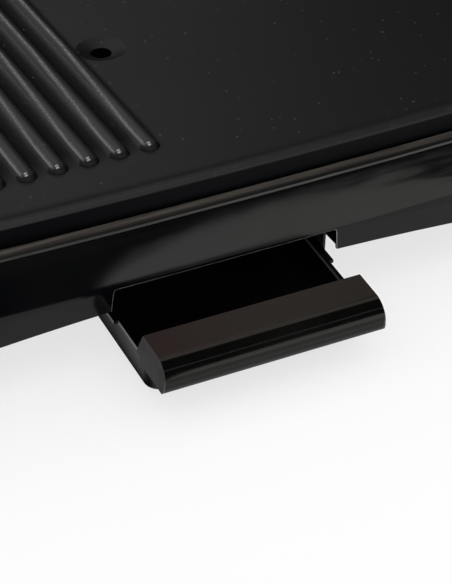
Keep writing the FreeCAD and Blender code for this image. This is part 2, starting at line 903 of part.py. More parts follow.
def clamp_screw_places():
    places = []
    for place, turn in clamp_places():
        across = ALONG_Y if turn == 0 else ALONG_X
        for side in (-1, 1):
            places.append(place + across * (side * clamp_hole_offset) - V(0, 0, clamp_sheet))
    return places


def socket_screw_places():
    """Screws that hold the socket's top flange up against the plate's two lugs."""
    x = socket_x0 + socket_ear_width / 2
    reach = socket_width / 2 + socket_ear / 2
    top = socket_floor + socket_height
    return [V(x, socket_y + side * reach, top - socket_wall) for side in (-1, 1)]


def grill_plate():
    """Cast plate: ribs on the left half, flat on the right, with its drain and its underside."""
    plate = plate_shell()
    room = half_length - last_rib_inset + first_rib_x
    first = rib(first_rib_x)
    ribs = [first.translated(V(-i * rib_pitch, 0, 0)) for i in range(int(room / rib_pitch) + 1)]
    lugs = [element_channel(), probe_boss()]
    for place in spacer_places():
        foot = V(place.x, place.y, plate_underside - plate_boss_height)
        lugs.append(Part.makeCone(boss_radius, boss_radius + 1, plate_boss_height + weld, foot, UP))
    for place in socket_screw_places():
        foot = V(place.x, place.y, place.z + socket_wall)
        lugs.append(rod(foot, UP, socket_lug_radius, plate_underside + weld - foot.z))
    spout_radius = drain_radius + spout_wall
    spout_length = plate_underside + weld - spout_bottom
    spout_tip = UP * spout_bottom
    lugs.append(Part.makeCone(spout_radius, spout_radius + spout_taper, spout_length, spout_tip, UP))
    plate = plate.multiFuse(ribs + lugs)
    cutters = [element_tube(element_radius + element_fit)]
    cutters.append(rod(spout_tip - UP, UP, drain_radius, plate_top - spout_bottom + 2))
    funnel_low = UP * (plate_top - drain_funnel_depth)
    funnel = Part.makeCone(drain_radius, drain_funnel_radius, drain_funnel_depth, funnel_low, UP)
    cutters.append(funnel)
    for place in spacer_places():
        foot = place + UP * (plate_underside - plate_boss_height - 1)
        cutters.append(screw_hole(foot, UP, large_screw, plate_boss_height + 1))
    for place in clamp_screw_places():
        cutters.append(screw_hole(place, UP, small_screw, clamp_screw_length + 1))
    for place in socket_screw_places():
        cutters.append(screw_hole(place, UP, small_screw, socket_wall + socket_screw_bite + 1))
    mouth = V(element_end_x + 1, socket_y, socket_middle)
    probe_depth = probe_length + 1 - probe_end_wall
    cutters.append(rod(mouth, -ALONG_X, probe_radius + element_fit, probe_depth))
    return one_solid(plate.cut(group(cutters)))


def plate_spacers():
    """Heat-proof bushes between the deck and the plate's bosses."""
    z0 = deck_top
    z1 = plate_underside - plate_boss_height
    bushes = []
    for place in spacer_places():
        bush = rod(place + UP * z0, UP, spacer_radius, z1 - z0)
        bushes.append(bush.cut(rod(place + UP * (z0 - 1), UP, spacer_hole_radius, z1 - z0 + 2)))
    return group(bushes)


def plate_screws():
    length = plate_underside - deck_bottom - 2
    head = UP * deck_bottom
    return group([screw(place + head, UP, large_screw, length) for place in spacer_places()])


def heat_shield():
    """Pressed steel pan that hangs from the deck and keeps the heat off the tray."""
    edge = deck_width - shield_flange
    z = deck_top
    wall_inset = deck_width + shield_fit
    floor_inset = wall_inset + shield_draw
    low = z - shield_depth
    skin = Part.makeLoft([plan_wire(floor_inset, low), plan_wire(wall_inset, z)], True, True)
    room_low = plan_wire(floor_inset + shield_sheet, low + shield_sheet)
    room_high = plan_wire(wall_inset + shield_sheet, z)
    pan = skin.cut(Part.makeLoft([room_low, room_high], True, True))
    flange = plan_ring(edge, wall_inset + shield_sheet / 2, z, z + shield_sheet)
    lip = plan_ring(wall_inset, wall_inset + shield_sheet, z - weld, z + shield_sheet)
    pan = pan.multiFuse([flange, lip])
    hole = drain_radius + spout_wall + spout_taper + shield_hole_clearance
    cutters = [rod(UP * (low - 1), UP, hole, shield_depth)]
    under_flange = UP * (z - 1)
    for place in shield_screw_places():
        cutters.append(screw_hole(place + under_flange, UP, small_screw, shield_sheet + 2))
    for place in spacer_places():
        radius = spacer_radius + shield_bush_clearance
        cutters.append(rod(place + under_flange, UP, radius, shield_sheet + 2))
    cutters.append(socket_opening(socket_clearance))
    return one_solid(pan.cut(group(cutters)))


def shield_screws():
    head = UP * (deck_top + shield_sheet)
    screws = [screw(place + head, -UP, small_screw, shield_screw_length) for place in shield_screw_places()]
    return group(screws)


def heating_element():
    return one_solid(element_tube(element_radius))


def terminal_pins():
    pins = []
    for side in (-1, 1):
        foot = V(element_end_x, socket_y + side * pin_spacing / 2, socket_middle)
        pin = rod(foot, ALONG_X, pin_radius, pin_length)
        tip = element_end_x + pin_length - near
        pins.append(round_edges(pin, pin_tip_round, lambda e: e.CenterOfMass.x > tip))
    return group(pins)


def terminal_insulators():
    """Ceramic collars that carry the pins through the socket's rear wall."""
    collars = []
    for side in (-1, 1):
        foot = V(element_end_x, socket_y + side * pin_spacing / 2, socket_middle)
        collar = rod(foot, ALONG_X, insulator_radius, insulator_flange)
        collar = collar.fuse(rod(foot, ALONG_X, insulator_neck, insulator_length))
        bore = rod(foot - ALONG_X, ALONG_X, pin_radius + pin_fit, insulator_length + 2)
        collars.append(collar.cut(bore))
    return group(collars)


def element_clamps():
    return group([clamp_strap(place, turn) for place, turn in clamp_places()])


def element_clamp_screws():
    return group([screw(place, UP, small_screw, clamp_screw_length) for place in clamp_screw_places()])


def in_tray(shape):
    """Place a shape drawn in the tray's own frame where the pulled-out tray is."""
    shape.rotate(V(0, 0, 0), ALONG_X, tray_slope)
    shape.translate(V(0, tray_out_y, tray_out_z))
    return shape


def tray_block(half_width, y0, y1, z0, z1, corner, floor_round):
    block = box(-half_width, half_width, y0, y1, z0, z1)
    block = round_edges(block, corner, runs_along(UP))
    return round_edges(block, floor_round, lambda e: e.CenterOfMass.z < z0 + near)


def drip_tray():
    """Open tub with raised floor margins, side runners and a tall front wall behind the grip."""
    y0 = tray_front_y
    y1 = tray_front_y + tray_length
    z0 = tray_floor_z
    z1 = -tray_rim_drop
    wall = tray_wall
    half = tray_half_width
    inner = half - wall
    inner_corner = tray_corner - wall
    low = z0 + wall
    tub = tray_block(half, y0, y1, z0, z1, tray_corner, tray_base_round)
    hollow_top = z1 + outside_room
    hollow = tray_block(inner, y0 + wall, y1 - wall, low, hollow_top, inner_corner, tray_floor_round)
    tall_half = half - tray_corner
    tall = box(-tall_half, tall_half, y0, y0 + wall, z1 - 2, -grip_wall)
    tub = tub.cut(hollow).fuse(tall)
    step_x = tray_margin_x + tray_margin_step
    x_wall = inner + weld
    raised = []
    for side in (-1, 1):
        outline = [
            V(side * tray_margin_x, y0 + wall, low - weld),
            V(side * tray_margin_x, y0 + wall, low),
            V(side * step_x, y0 + wall, low + tray_margin_step),
            V(side * x_wall, y0 + wall, low + tray_margin_rise),
            V(side * x_wall, y0 + wall, low - weld),
        ]
        margin = prism(outline, V(0, tray_length - 2 * wall, 0))
        raised.append(margin.common(tray_block(half, y0, y1, z0, z1, tray_corner, tray_base_round)))
        x0, x1 = sorted((side * (half - weld), side * (half + runner_width)))
        runner_low = -runner_drop - runner_height
        raised.append(box(x0, x1, y0 + runner_start, y1 - tray_corner, runner_low, -runner_drop))
    tub = tub.multiFuse(raised)
    for side in (-1, 1):
        place = V(side * grip_boss_x, y0 - 1, -grip_height / 2)
        tub = tub.cut(screw_hole(place, ALONG_Y, small_screw, wall + 2))
    return in_tray(one_solid(tub))


def grip_section(inset):
    """Closed outline of the grip across its length, with its wall taken off by an inset."""
    y_front = -grip_depth + inset
    y_bottom = y_front + grip_tuck
    top = -inset
    shoulder_bulge = grip_shoulder_bulge * (1 - inset / grip_height)
    start = V(0, 0, top)
    flat_end = V(0, -grip_flat, top)
    nose = V(0, y_front, -grip_nose_drop)
    bottom = V(0, y_bottom, -grip_height)
    back = V(0, 0, -grip_height)
    return Part.Wire([
        straight_edge(start, flat_end),
        bulged(flat_end, nose, -shoulder_bulge),
        bulged(nose, bottom, -grip_front_bulge),
        straight_edge(bottom, back),
        straight_edge(back, start),
    ])


def tray_grip():
    """Finger grip like a hood: a rounded nose in front, hollow behind, with a cap at each end."""
    half = grip_half_width + 2
    low = -grip_height
    outer = Part.Face(grip_section(0)).extrude(V(2 * half, 0, 0))
    outer.translate(V(-half, 0, 0))
    rim = -tray_rim_drop
    tail = [V(-half, 0, 0), V(-half, grip_tail, rim), V(-half, 0, rim), V(-half, -grip_tail, low)]
    body = outer.fuse(prism(tail, V(2 * half, 0, 0)))
    inner_half = grip_half_width - grip_wall - grip_end_lean * grip_height
    inner = Part.Face(grip_section(grip_wall)).extrude(V(2 * inner_half, 0, 0))
    inner.translate(V(-inner_half, 0, 0))
    behind = box(-inner_half, inner_half, -grip_wall, grip_depth, low - 1, -grip_wall)
    front_web = -grip_depth + 2 * grip_wall
    below = box(-inner_half, inner_half, front_web, grip_depth, low - 2, low + weld)
    y0 = tray_front_y
    room_half = tray_half_width + grip_fit
    room_y0 = y0 - grip_fit
    room_y1 = y0 + outside_room
    room_z1 = rim + grip_fit
    room = tray_block(room_half, room_y0, room_y1, tray_floor_z, room_z1, tray_corner, tray_base_round)
    body = body.cut(inner.multiFuse([behind, below])).cut(room)
    lean = grip_end_lean * (grip_height / 2 + 2)
    boss_length = grip_depth - grip_wall / 2 + y0
    for side in (-1, 1):
        top_x = side * (grip_half_width - lean)
        low_x = side * (grip_half_width + lean)
        out = side * (half + 2)
        y = -grip_depth - 2
        corners = [V(top_x, y, 2), V(out, y, 2), V(out, y, low - 2), V(low_x, y, low - 2)]
        body = body.cut(prism(corners, V(0, 2 * grip_depth + outside_room, 0)))
        place = V(side * grip_boss_x, y0, low / 2)
        boss = rod(place, -ALONG_Y, grip_boss_radius, boss_length)
        hole = screw_hole(place + ALONG_Y, -ALONG_Y, small_screw, grip_screw_length + 2)
        body = body.fuse(boss).cut(hole)
    return in_tray(one_solid(body))


def tray_grip_screws():
    screws = []
    for side in (-1, 1):
        place = V(side * grip_boss_x, tray_front_y + tray_wall, -grip_height / 2)
        screws.append(screw(place, -ALONG_Y, small_screw, grip_screw_length))
    return in_tray(group(screws))


def tray_line_z(y, height):
    """World height, at a world Y, of a line that runs along the tray at a height in its frame."""
    return tray_out_z + (y - tray_out_y) * math.tan(slope) + height / math.cos(slope)


def tray_rail(side):
    """Rail with a level top edge, screwed to its beam, and a sloping lip under the tub."""
    inner = rail_inner_x
    lip_top = -runner_drop - runner_height - rail_lift_clearance
    lip_low = lip_top - rail_lip_thickness
    y0 = rail_front_y
    y1 = rail_back_y
    z_top = rail_web_top
    lean = rail_front_lean
    web_points = [
        V(0, y0, z_top),
        V(0, y0 + lean, tray_line_z(y0 + lean, lip_low)),
        V(0, y1, tray_line_z(y1, lip_low)),
        V(0, y1, z_top),
    ]
    web = prism(web_points, V(side * rail_wall, 0, 0))
    web.translate(V(side * inner, 0, 0))
    y_lip = y0 + rail_lip_setback
    lip_points = [
        V(0, y_lip, tray_line_z(y_lip, lip_top)),
        V(0, y1, tray_line_z(y1, lip_top)),
        V(0, y1, tray_line_z(y1, lip_low)),
        V(0, y_lip, tray_line_z(y_lip, lip_low)),
    ]
    lip = prism(lip_points, V(-side * (rail_lip + rail_wall / 2), 0, 0))
    lip.translate(V(side * (inner + rail_wall / 2), 0, 0))
    stop_z0 = tray_line_z(y1, lip_low)
    x0, x1 = sorted((side * (inner - rail_stop), side * (inner + weld)))
    stop = box(x0, x1, y1 - rail_wall, y1, stop_z0, z_top)
    rail = web.multiFuse([lip, stop])
    for place in rail_screw_places(side):
        inward = ALONG_X * -side
        rail = rail.cut(screw_hole(place, inward, small_screw, beam_wall + rail_wall + 2))
    return one_solid(rail)


def rail_screws():
    length = beam_wall + rail_wall - rail_screw_spare
    screws = []
    for side in (-1, 1):
        for place in rail_screw_places(side):
            screws.append(screw(place, ALONG_X * -side, small_screw, length))
    return group(screws)


def foot(place):
    """Rubber foot with a countersunk well for its screw."""
    body = Part.makeCone(foot_radius - foot_taper, foot_radius, foot_height, place, UP)
    rim = [e for e in body.Edges if e.CenterOfMass.z < near and e.Curve.TypeId == "Part::GeomCircle"]
    body = body.makeFillet(foot_edge_round, rim)
    well_radius = large_screw[1] + foot_well_clearance
    body = body.cut(rod(place - UP, UP, well_radius, foot_well_depth + 1))
    return body.cut(screw_hole(place, UP, large_screw, foot_height + 1))


def foot_screws():
    head = UP * foot_well_depth
    return group([screw(place + head, UP, large_screw, foot_screw_length) for place in foot_places()])


def side_handle(side):
    """Bar handle on the short end: two legs on the skirt and a grip bar with a finger gap."""
    x_wall = half_length
    x_out = half_length + handle_reach
    half = handle_span / 2
    z0 = handle_bottom
    z1 = handle_bottom + handle_height
    outer = box(x_wall - handle_bar, x_out, -half, half, z0, z1)
    outer = round_edges(outer, handle_corner, lambda e: runs_along(UP)(e) and e.CenterOfMass.x > x_wall)
    gap_half = half - handle_bar
    gap = box(x_wall - 2 * handle_bar, x_out - handle_bar, -gap_half, gap_half, z0 - 1, z1 + 1)
    gap = round_edges(gap, handle_inner_corner, lambda e: runs_along(UP)(e) and e.CenterOfMass.x > x_wall)
    bar = outer.cut(gap)
    rims = [e for e in bar.Edges if not runs_along(UP)(e) and e.CenterOfMass.x > x_wall + 2]
    bar = bar.makeFillet(handle_round, rims)
    bar = bar.cut(plan_slab(0, z0 - 1, z1 + 1))
    for place in handle_screw_places(1):
        bar = bar.cut(screw_hole(place, ALONG_X, large_screw, skirt_wall + handle_screw_bite + 1))
    bar = one_solid(bar)
    return bar if side > 0 else mirror_x(bar)


def handle_screws():
    screws = []
    for side in (-1, 1):
        for place in handle_screw_places(side):
            screws.append(screw(place, ALONG_X * side, large_screw, skirt_wall + handle_screw_bite))
    return group(screws)


def socket_shroud():
    """Moulded box round the terminal pins, open to the end, with two ears on its top."""
    x1 = socket_x1
    x0 = socket_x0
    half = socket_width / 2
    z0 = socket_floor
    z1 = z0 + socket_height
    outer = box(x0, x1, socket_y - half, socket_y + half, z0, z1)
    outer = round_edges(outer, socket_corner, runs_along(ALONG_X))
    wall = socket_wall
    inner = half - wall
    hollow = box(x0 + wall, x1 + 2, socket_y - inner, socket_y + inner, z0 + wall, z1 - wall)
    hollow = round_edges(hollow, socket_corner - wall, runs_along(ALONG_X))
    ears = []
    for side in (-1, 1):
        near_y = socket_y + side * (half - socket_corner)
        y0, y1 = sorted((near_y, socket_y + side * (half + socket_ear)))
        ears.append(box(x0, x0 + socket_ear_width, y0, y1, z1 - wall, z1))
    shroud = outer.multiFuse(ears).cut(hollow)
    for side in (-1, 1):
        place = V(x0 - 1, socket_y + side * pin_spacing / 2, socket_middle)
        shroud = shroud.cut(rod(place, ALONG_X, insulator_neck + insulator_fit, wall + 2))
    place = V(x0 - 1, socket_y, socket_middle)
    shroud = shroud.cut(rod(place, ALONG_X, probe_radius + probe_clearance, wall + 2))
    for place in socket_screw_places():
        shroud = shroud.cut(screw_hole(place - UP, UP, small_screw, wall + 2))
    return one_solid(shroud)


def socket_screws():
    length = socket_wall + socket_screw_bite
    return group([screw(place, UP, small_screw, length) for place in socket_screw_places()])


def save(node, shape):
    shape.translate(V(0, origin_forward, 0))
    shape.exportStep("parts/" + node + ".step")


NODES = {
    "base_frame": base_frame,
    "bezel_ring": bezel_ring,
    "grill_plate": grill_plate,
    "plate_spacers": plate_spacers,
    "plate_screws": plate_screws,
    "heat_shield": heat_shield,
    "heat_shield_screws": shield_screws,
    "heating_element": heating_element,
    "element_clamps": element_clamps,
    "element_clamp_screws": element_clamp_screws,
    "terminal_pins": terminal_pins,
    "terminal_insulators": terminal_insulators,
    "drip_tray": drip_tray,
    "tray_grip": tray_grip,
    "tray_grip_screws": tray_grip_screws,
    "tray_rail_left": lambda: tray_rail(-1),
    "tray_rail_right": lambda: tray_rail(1),
    "tray_rail_screws": rail_screws,
    "foot_front_left": lambda: foot(foot_places()[0]),
    "foot_back_left": lambda: foot(foot_places()[1]),
    "foot_front_right": lambda: foot(foot_places()[2]),
    "foot_back_right": lambda: foot(foot_places()[3]),
    "foot_screws": foot_screws,
    "side_handle_left": lambda: side_handle(-1),
    "side_handle_right": lambda: side_handle(1),
    "side_handle_screws": handle_screws,
    "socket_shroud": socket_shroud,
    "socket_screws": socket_screws,
}

os.makedirs("parts", exist_ok=True)
for node, make in NODES.items():
    save(node, make())
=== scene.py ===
import bmesh
import bpy
import json
import math
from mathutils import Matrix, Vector

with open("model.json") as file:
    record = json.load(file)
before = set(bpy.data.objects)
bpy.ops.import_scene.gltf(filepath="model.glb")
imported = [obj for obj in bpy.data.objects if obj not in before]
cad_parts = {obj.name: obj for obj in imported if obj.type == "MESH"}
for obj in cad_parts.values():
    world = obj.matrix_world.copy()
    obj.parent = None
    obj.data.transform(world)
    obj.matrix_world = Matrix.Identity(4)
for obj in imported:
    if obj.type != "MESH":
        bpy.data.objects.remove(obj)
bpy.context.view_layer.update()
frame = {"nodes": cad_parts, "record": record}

# Camera, fitted to the photograph, in metres, degrees and millimetres of lens.
CAMERA_PLACE = (-0.379753, -0.873581, 0.606402)
CAMERA_AZIMUTH = 26.41
CAMERA_DOWN = 34.446
CAMERA_LENS = 143.62
CAMERA_NEAREST = 0.01
SENSOR = 36.0

# Housing, in metres: the front face at the notch, the crowned part of its walls and the notch, whose
# rounded edge gets a painted highlight.
FRONT_FACE_Y = -0.111
FACE_LOW_Z = 0.038
FACE_HIGH_Z = 0.067
FACE_BLEND = 0.003
NOTCH_HALF_WIDTH = 0.0545
NOTCH_LOW_Z = 0.0255
NOTCH_TOP_Z = 0.0392
NOTCH_ROUND_DEPTH = 0.0018
NOTCH_ROUND_WIDTH = 0.0015
NOTCH_ROUND_RISE = 0.0008
NOTCH_LINE_BLEND = 0.0001

# How far the walls' normals lean upwards at the foot and at the top of the crowned part. To the
# right of the middle they lean more, by SIDE_LEAN times the square of the distance, up to a limit,
# and the moulding is a little wavy there.
LOW_LEAN = 0.12
HIGH_LEAN = 0.342
SIDE_LEAN = 5.2
SIDE_SQUARE_LIMIT = 0.025
RIPPLE_STRETCH = (22.0, 22.0, 150.0)

# Ring: height of its lower bead, and heights above that where the painted highlights and the painted
# shadow line change.
RING_LOW_Z = 0.0682
RING_BEAD_HIGHLIGHT = (0.0007, 0.0009)
RING_SHADOW = (0.0011, 0.0013)
RING_CROWN_HIGHLIGHT = (0.0015, 0.0022)
RING_LINES = (14.0, 900.0, 2600.0)

# Plate: its ribs run along Y, and the first is the one furthest to the right.
PLATE_TOP_Z = 0.0785
# The rim's crest and rounded edge, and the ribs' crowns, tips and front ends, get painted highlights.
RIM_LIT_RISE = (0.0002, 0.0015)
RIM_EDGE_Z = 0.0793
RIM_EDGE_BLEND = 0.0004
RIB_TOP_Z = 0.0815
RIB_FIRST_X = -0.0172
RIB_PITCH = 0.0146
RIB_COUNT = 13
RIB_FRONT_Y = -0.0725
RIB_TIP_Y = -0.0702
RIB_HALF_WIDTH = 0.0042
RIB_CROWN_RISE = 0.0014
RIB_MIDDLE_BLEND = 0.0004
RIB_STREAKS = (900.0, 90.0, 900.0)

# Painted glint line on each rib, which wanders from the crown's middle at the back to its left edge in
# front.
GLINT_LEFT = 0.0031
GLINT_FRONT_Y = -0.05
GLINT_BACK_Y = 0.03
GLINT_WIDTH = (0.0002, 0.0014)
GLINT_CORE = 0.0006
GLINT_FULL_Y = -0.062
GLINT_FAINT_Y = -0.01
GLINT_CORE_END_Y = -0.015
GLINT_GRAIN = (0.46, 0.64)

# Painted glint at each rib's front end, in two halves.
SPOT_LENGTH = 0.0022
SPOT_WIDTH = 0.0017
SPOT_GAP = (0.0002, 0.0005)
SPOT_RISE = (0.0002, 0.0008)
SPOT_BLEND = 0.0003

# Grooves between the ribs, dulled as painted shade, and the ribs' front slopes, which get a painted
# highlight.
GROOVE_RISE = (0.0003, 0.0019)
GROOVE_FADE = 0.016
GROOVE_END_SHARE = 0.25
TIP_START = (0.001, 0.003)
TIP_RIGHT = (-0.0032, -0.0012)
TIP_RISE = (0.0001, 0.0005)

# Tray: slope of its tub, the tub's front end, and heights over the table that are measured there.
TRAY_SLOPE = 0.0945
TRAY_START_Y = -0.1357
TUB_INNER_X = 0.0495
TUB_SHADE_RISE = (0.006, 0.0215)
TUB_SHADE_REACH = (0.008, 0.03)
# Bands of the tub's rim and bead, which get painted highlights.
TUB_RIM_HIGHLIGHT = (0.0172, 0.0205)
TUB_RIM_BLEND = 0.0004
TUB_BEAD_HIGHLIGHT = (0.0026, 0.0034)
TUB_BEAD_BLEND = 0.0002
GRIP_HALF_WIDTH = 0.0534
# Width of the painted highlight along the grip's end edges.
GRIP_END_HIGHLIGHT = 0.0005
# Where the grip top's painted reflection tint turns redder.
GRIP_RED_REFLECTION_X = -0.05

# Limits between which a pattern goes from none to all: the noise of the grain and of the smudges,
# and how near the middle of a speck a point is.
GRAIN_SPREAD = (0.3, 0.7)
SMUDGE_SPREAD = (0.42, 0.72)
SPECK_SPREAD = (0.28, 0.08)
STRAY_SPECKS = (0.47, 0.5)

# How far up a face looks where it counts as level, and where it starts to count as rounded.
LEVEL = (0.8, 0.97)
ROUNDED = (0.12, 0.3)

# Stretch of the grain along X, Y and Z.
EVEN = (1.0, 1.0, 1.0)
ROLLED = (8.0, 1.0, 1.0)

# How strongly plastics and the coat reflect, in full and where their reflection is lowered as painted
# shade.
PLASTIC_IOR = 1.5
SHADE_IOR = 1.05
FULL_SHEEN = 0.5
SHADE_SHEEN = 0.1

# Floor, walls of the studio and the cards that only mirrors see. The cards' heights keep them
# apart from each other and from the floor.
FLOOR_REACH = 12.0
FLOOR_TONE = 0.29
FLOOR_GLOW = 0.71
BACKDROP_STRENGTH = 1.0
ROOM_STRENGTH = 0.02
CARD_REACH = 9.0
NEAR_GLOW = 0.42
NEAR_CARD_Z = 0.001
PAPER_GLOW = 0.85
PAPER_Z = 0.002
DARK_Z = 0.003
CARD_LEFT_X = -8.0
CARD_FRONT_Y = -8.8
CARD_BACK_Y = -0.2
CARD_TIP_X = -0.036
BRIGHT_PAPER = [
    (4.0, CARD_FRONT_Y),
    (CARD_REACH, CARD_FRONT_Y),
    (CARD_REACH, CARD_BACK_Y),
    (CARD_TIP_X, CARD_BACK_Y),
]
DARK_ROOM = [
    (CARD_LEFT_X, CARD_FRONT_Y),
    (3.8, CARD_FRONT_Y),
    (0.26, -0.95),
    (CARD_TIP_X, CARD_BACK_Y),
    (CARD_LEFT_X, CARD_BACK_Y),
]

# Soft lights: place, point they face, width, depth and power. The plate and the grip mirror the
# first two, the ribs' edges and ends the small ones and the grip's nose the strip.
LIGHTS = {
    "back_soft": ((-0.15, 1.9, 1.6), (0.0, 0.1, 0.05), 2.6, 1.5, 5.2),
    "top_soft": ((0.3, 0.9, 2.1), (0.0, -0.1, 0.0), 1.8, 1.1, 3.2),
    "rib_edge_light": ((-1.0, 1.5, 0.75), (0.0, 0.0, 0.08), 0.25, 0.25, 2.0),
    "rib_end_light": ((-0.1, -0.7, 1.9), (-0.1, 0.0, 0.08), 0.15, 0.15, 2.0),
    "nose_strip": ((0.9, -3.0, 1.8), (0.0, -0.1, 0.0), 3.0, 0.12, 1.0),
}


def connect(tree, value, socket):
    """Give a socket a number or a tuple as its value, or link another socket to it."""
    if isinstance(value, (int, float, tuple)):
        socket.default_value = value
    else:
        tree.links.new(value, socket)


def new_group(name, inputs, outputs):
    """A shader node group with named inputs (name, default) and named outputs (name, kind)."""
    tree = bpy.data.node_groups.new(name, "ShaderNodeTree")
    for label, default in inputs:
        kind = "NodeSocketVector" if label in ("Position", "Stretch") else "NodeSocketFloat"
        socket = tree.interface.new_socket(label, in_out="INPUT", socket_type=kind)
        if default is not None:
            socket.default_value = default
    for label, kind in outputs:
        tree.interface.new_socket(label, in_out="OUTPUT", socket_type=kind)
    enter = tree.nodes.new("NodeGroupInput")
    leave = tree.nodes.new("NodeGroupOutput")
    return tree, enter, leave


def math_node(tree, operation, a, b=0.0, clamp=False):
    """Result of one sum; either side may be a number or a socket."""
    node = tree.nodes.new("ShaderNodeMath")
    node.operation = operation
    node.use_clamp = clamp
    connect(tree, a, node.inputs[0])
    connect(tree, b, node.inputs[1])
    return node.outputs[0]


def noise(tree, vector, scale, detail, roughness):
    """Soft noise from 0 to 1, with scale in lumps to the metre."""
    node = tree.nodes.new("ShaderNodeTexNoise")
    connect(tree, scale, node.inputs["Scale"])
    node.inputs["Detail"].default_value = detail
    node.inputs["Roughness"].default_value = roughness
    tree.links.new(vector, node.inputs["Vector"])
    return node.outputs["Fac"]


def remap(tree, value, low, high, start=0.0, end=1.0):
    """Straight ramp of a value between two limits, level outside them."""
    node = tree.nodes.new("ShaderNodeMapRange")
    tree.links.new(value, node.inputs["Value"])
    for label, number in (("From Min", low), ("From Max", high), ("To Min", start), ("To Max", end)):
        connect(tree, number, node.inputs[label])
    return node.outputs["Result"]


def stretched(tree, vector, stretch):
    """A vector with each of its parts multiplied by its own factor."""
    node = tree.nodes.new("ShaderNodeVectorMath")
    node.operation = "MULTIPLY"
    tree.links.new(vector, node.inputs[0])
    connect(tree, stretch, node.inputs[1])
    return node.outputs[0]


def parts_of(tree, vector):
    """The three parts of a vector, by the names X, Y and Z."""
    node = tree.nodes.new("ShaderNodeSeparateXYZ")
    tree.links.new(vector, node.inputs[0])
    return node.outputs


def shape_normal(tree):
    """Normal of the shape itself, before any lean or bump."""
    return tree.nodes.new("ShaderNodeNewGeometry").outputs["Normal"]


def leaned(tree, normal, axis, amount):
    """A normal turned towards an axis by an amount."""
    lift = tree.nodes.new("ShaderNodeCombineXYZ")
    tree.links.new(amount, lift.inputs[axis])
    added = tree.nodes.new("ShaderNodeVectorMath")
    tree.links.new(normal, added.inputs[0])
    tree.links.new(lift.outputs[0], added.inputs[1])
    unit = tree.nodes.new("ShaderNodeVectorMath")
    unit.operation = "NORMALIZE"
    tree.links.new(added.outputs[0], unit.inputs[0])
    return unit.outputs[0]


def make_smudge_group():
    """Broad handling smudges, and a fine waviness of the moulded surface."""
    tree, enter, leave = new_group(
        "handling_smudges",
        [("Position", None), ("Scale", 9.0), ("Amount", 0.5)],
        [("Smudge", "NodeSocketFloat"), ("Waviness", "NodeSocketFloat")],
    )
    position = enter.outputs["Position"]
    broad = noise(tree, position, enter.outputs["Scale"], detail=4.0, roughness=0.62)
    broad = remap(tree, broad, *SMUDGE_SPREAD)
    fine = noise(tree, position, scale=160.0, detail=2.0, roughness=0.5)
    mixed = math_node(tree, "MULTIPLY", broad, remap(tree, fine, *GRAIN_SPREAD, start=0.75, end=1.0))
    tree.links.new(math_node(tree, "MULTIPLY", mixed, enter.outputs["Amount"]), leave.inputs["Smudge"])
    tree.links.new(noise(tree, position, scale=70.0, detail=1.0, roughness=0.4), leave.inputs["Waviness"])
    return tree


def make_grain_group():
    """Fine grain of a coat or a moulded texture, with scattered bright specks."""
    tree, enter, leave = new_group(
        "coat_grain",
        [("Position", None), ("Stretch", EVEN), ("Scale", 900.0)],
        [("Grain", "NodeSocketFloat"), ("Specks", "NodeSocketFloat")],
    )
    vector = stretched(tree, enter.outputs["Position"], enter.outputs["Stretch"])
    grain = noise(tree, vector, enter.outputs["Scale"], detail=3.0, roughness=0.6)
    tree.links.new(grain, leave.inputs["Grain"])
    cells = tree.nodes.new("ShaderNodeTexVoronoi")
    tree.links.new(vector, cells.inputs["Vector"])
    tree.links.new(enter.outputs["Scale"], cells.inputs["Scale"])
    specks = remap(tree, cells.outputs["Distance"], *SPECK_SPREAD)
    tree.links.new(math_node(tree, "MULTIPLY", specks, grain), leave.inputs["Specks"])
    return tree


def make_crowned_wall_group():
    """Normal of an upright wall that is crowned: it turns up a little more towards its top edge."""
    tree, enter, leave = new_group(
        "crowned_wall",
        [
            ("Position", None),
            ("Low", FACE_LOW_Z),
            ("High", FACE_HIGH_Z),
            ("Low Lean", LOW_LEAN),
            ("High Lean", HIGH_LEAN),
            ("Side Lean", SIDE_LEAN),
        ],
        [("Normal", "NodeSocketVector")],
    )
    place = parts_of(tree, enter.outputs["Position"])
    shape = shape_normal(tree)
    steepness = math_node(tree, "ABSOLUTE", parts_of(tree, shape)["Z"])
    upright = remap(tree, steepness, 0.25, 0.4, start=1.0, end=0.0)
    limits = [enter.outputs[name] for name in ("Low", "High", "Low Lean", "High Lean")]
    lean = remap(tree, place["Z"], *limits)
    to_right = math_node(tree, "MAXIMUM", place["X"], 0.0)
    squared = math_node(tree, "MULTIPLY", to_right, to_right)
    squared = math_node(tree, "MINIMUM", squared, SIDE_SQUARE_LIMIT)
    wavy = stretched(tree, enter.outputs["Position"], RIPPLE_STRETCH)
    ripple = noise(tree, wavy, scale=1.0, detail=2.0, roughness=0.55)
    rippled = math_node(tree, "MULTIPLY", squared, remap(tree, ripple, 0.35, 0.65, start=0.2, end=1.8))
    rippled = math_node(tree, "MULTIPLY", rippled, enter.outputs["Side Lean"])
    lean = math_node(tree, "ADD", lean, rippled)
    rise = math_node(tree, "SUBTRACT", place["Z"], enter.outputs["Low"])
    above = remap(tree, rise, 0.0, FACE_BLEND)
    lean = math_node(tree, "MULTIPLY", math_node(tree, "MULTIPLY", lean, upright), above)
    tree.links.new(leaned(tree, shape, "Z", lean), leave.inputs["Normal"])
    return tree


def make_domed_top_group():
    """Normal of a flat top that is slightly domed: it turns towards the front by a set lean."""
    tree, enter, leave = new_group("domed_top", [("Lean", 0.2)], [("Normal", "NodeSocketVector")])
    shape = shape_normal(tree)
    forwards = remap(tree, parts_of(tree, shape)["Z"], 0.9, 0.99, start=0.0, end=-1.0)
    lean = math_node(tree, "MULTIPLY", forwards, enter.outputs["Lean"])
    tree.links.new(leaned(tree, shape, "Y", lean), leave.inputs["Normal"])
    return tree


SMUDGES = make_smudge_group()
GRAIN = make_grain_group()
CROWNED = make_crowned_wall_group()
DOMED = make_domed_top_group()


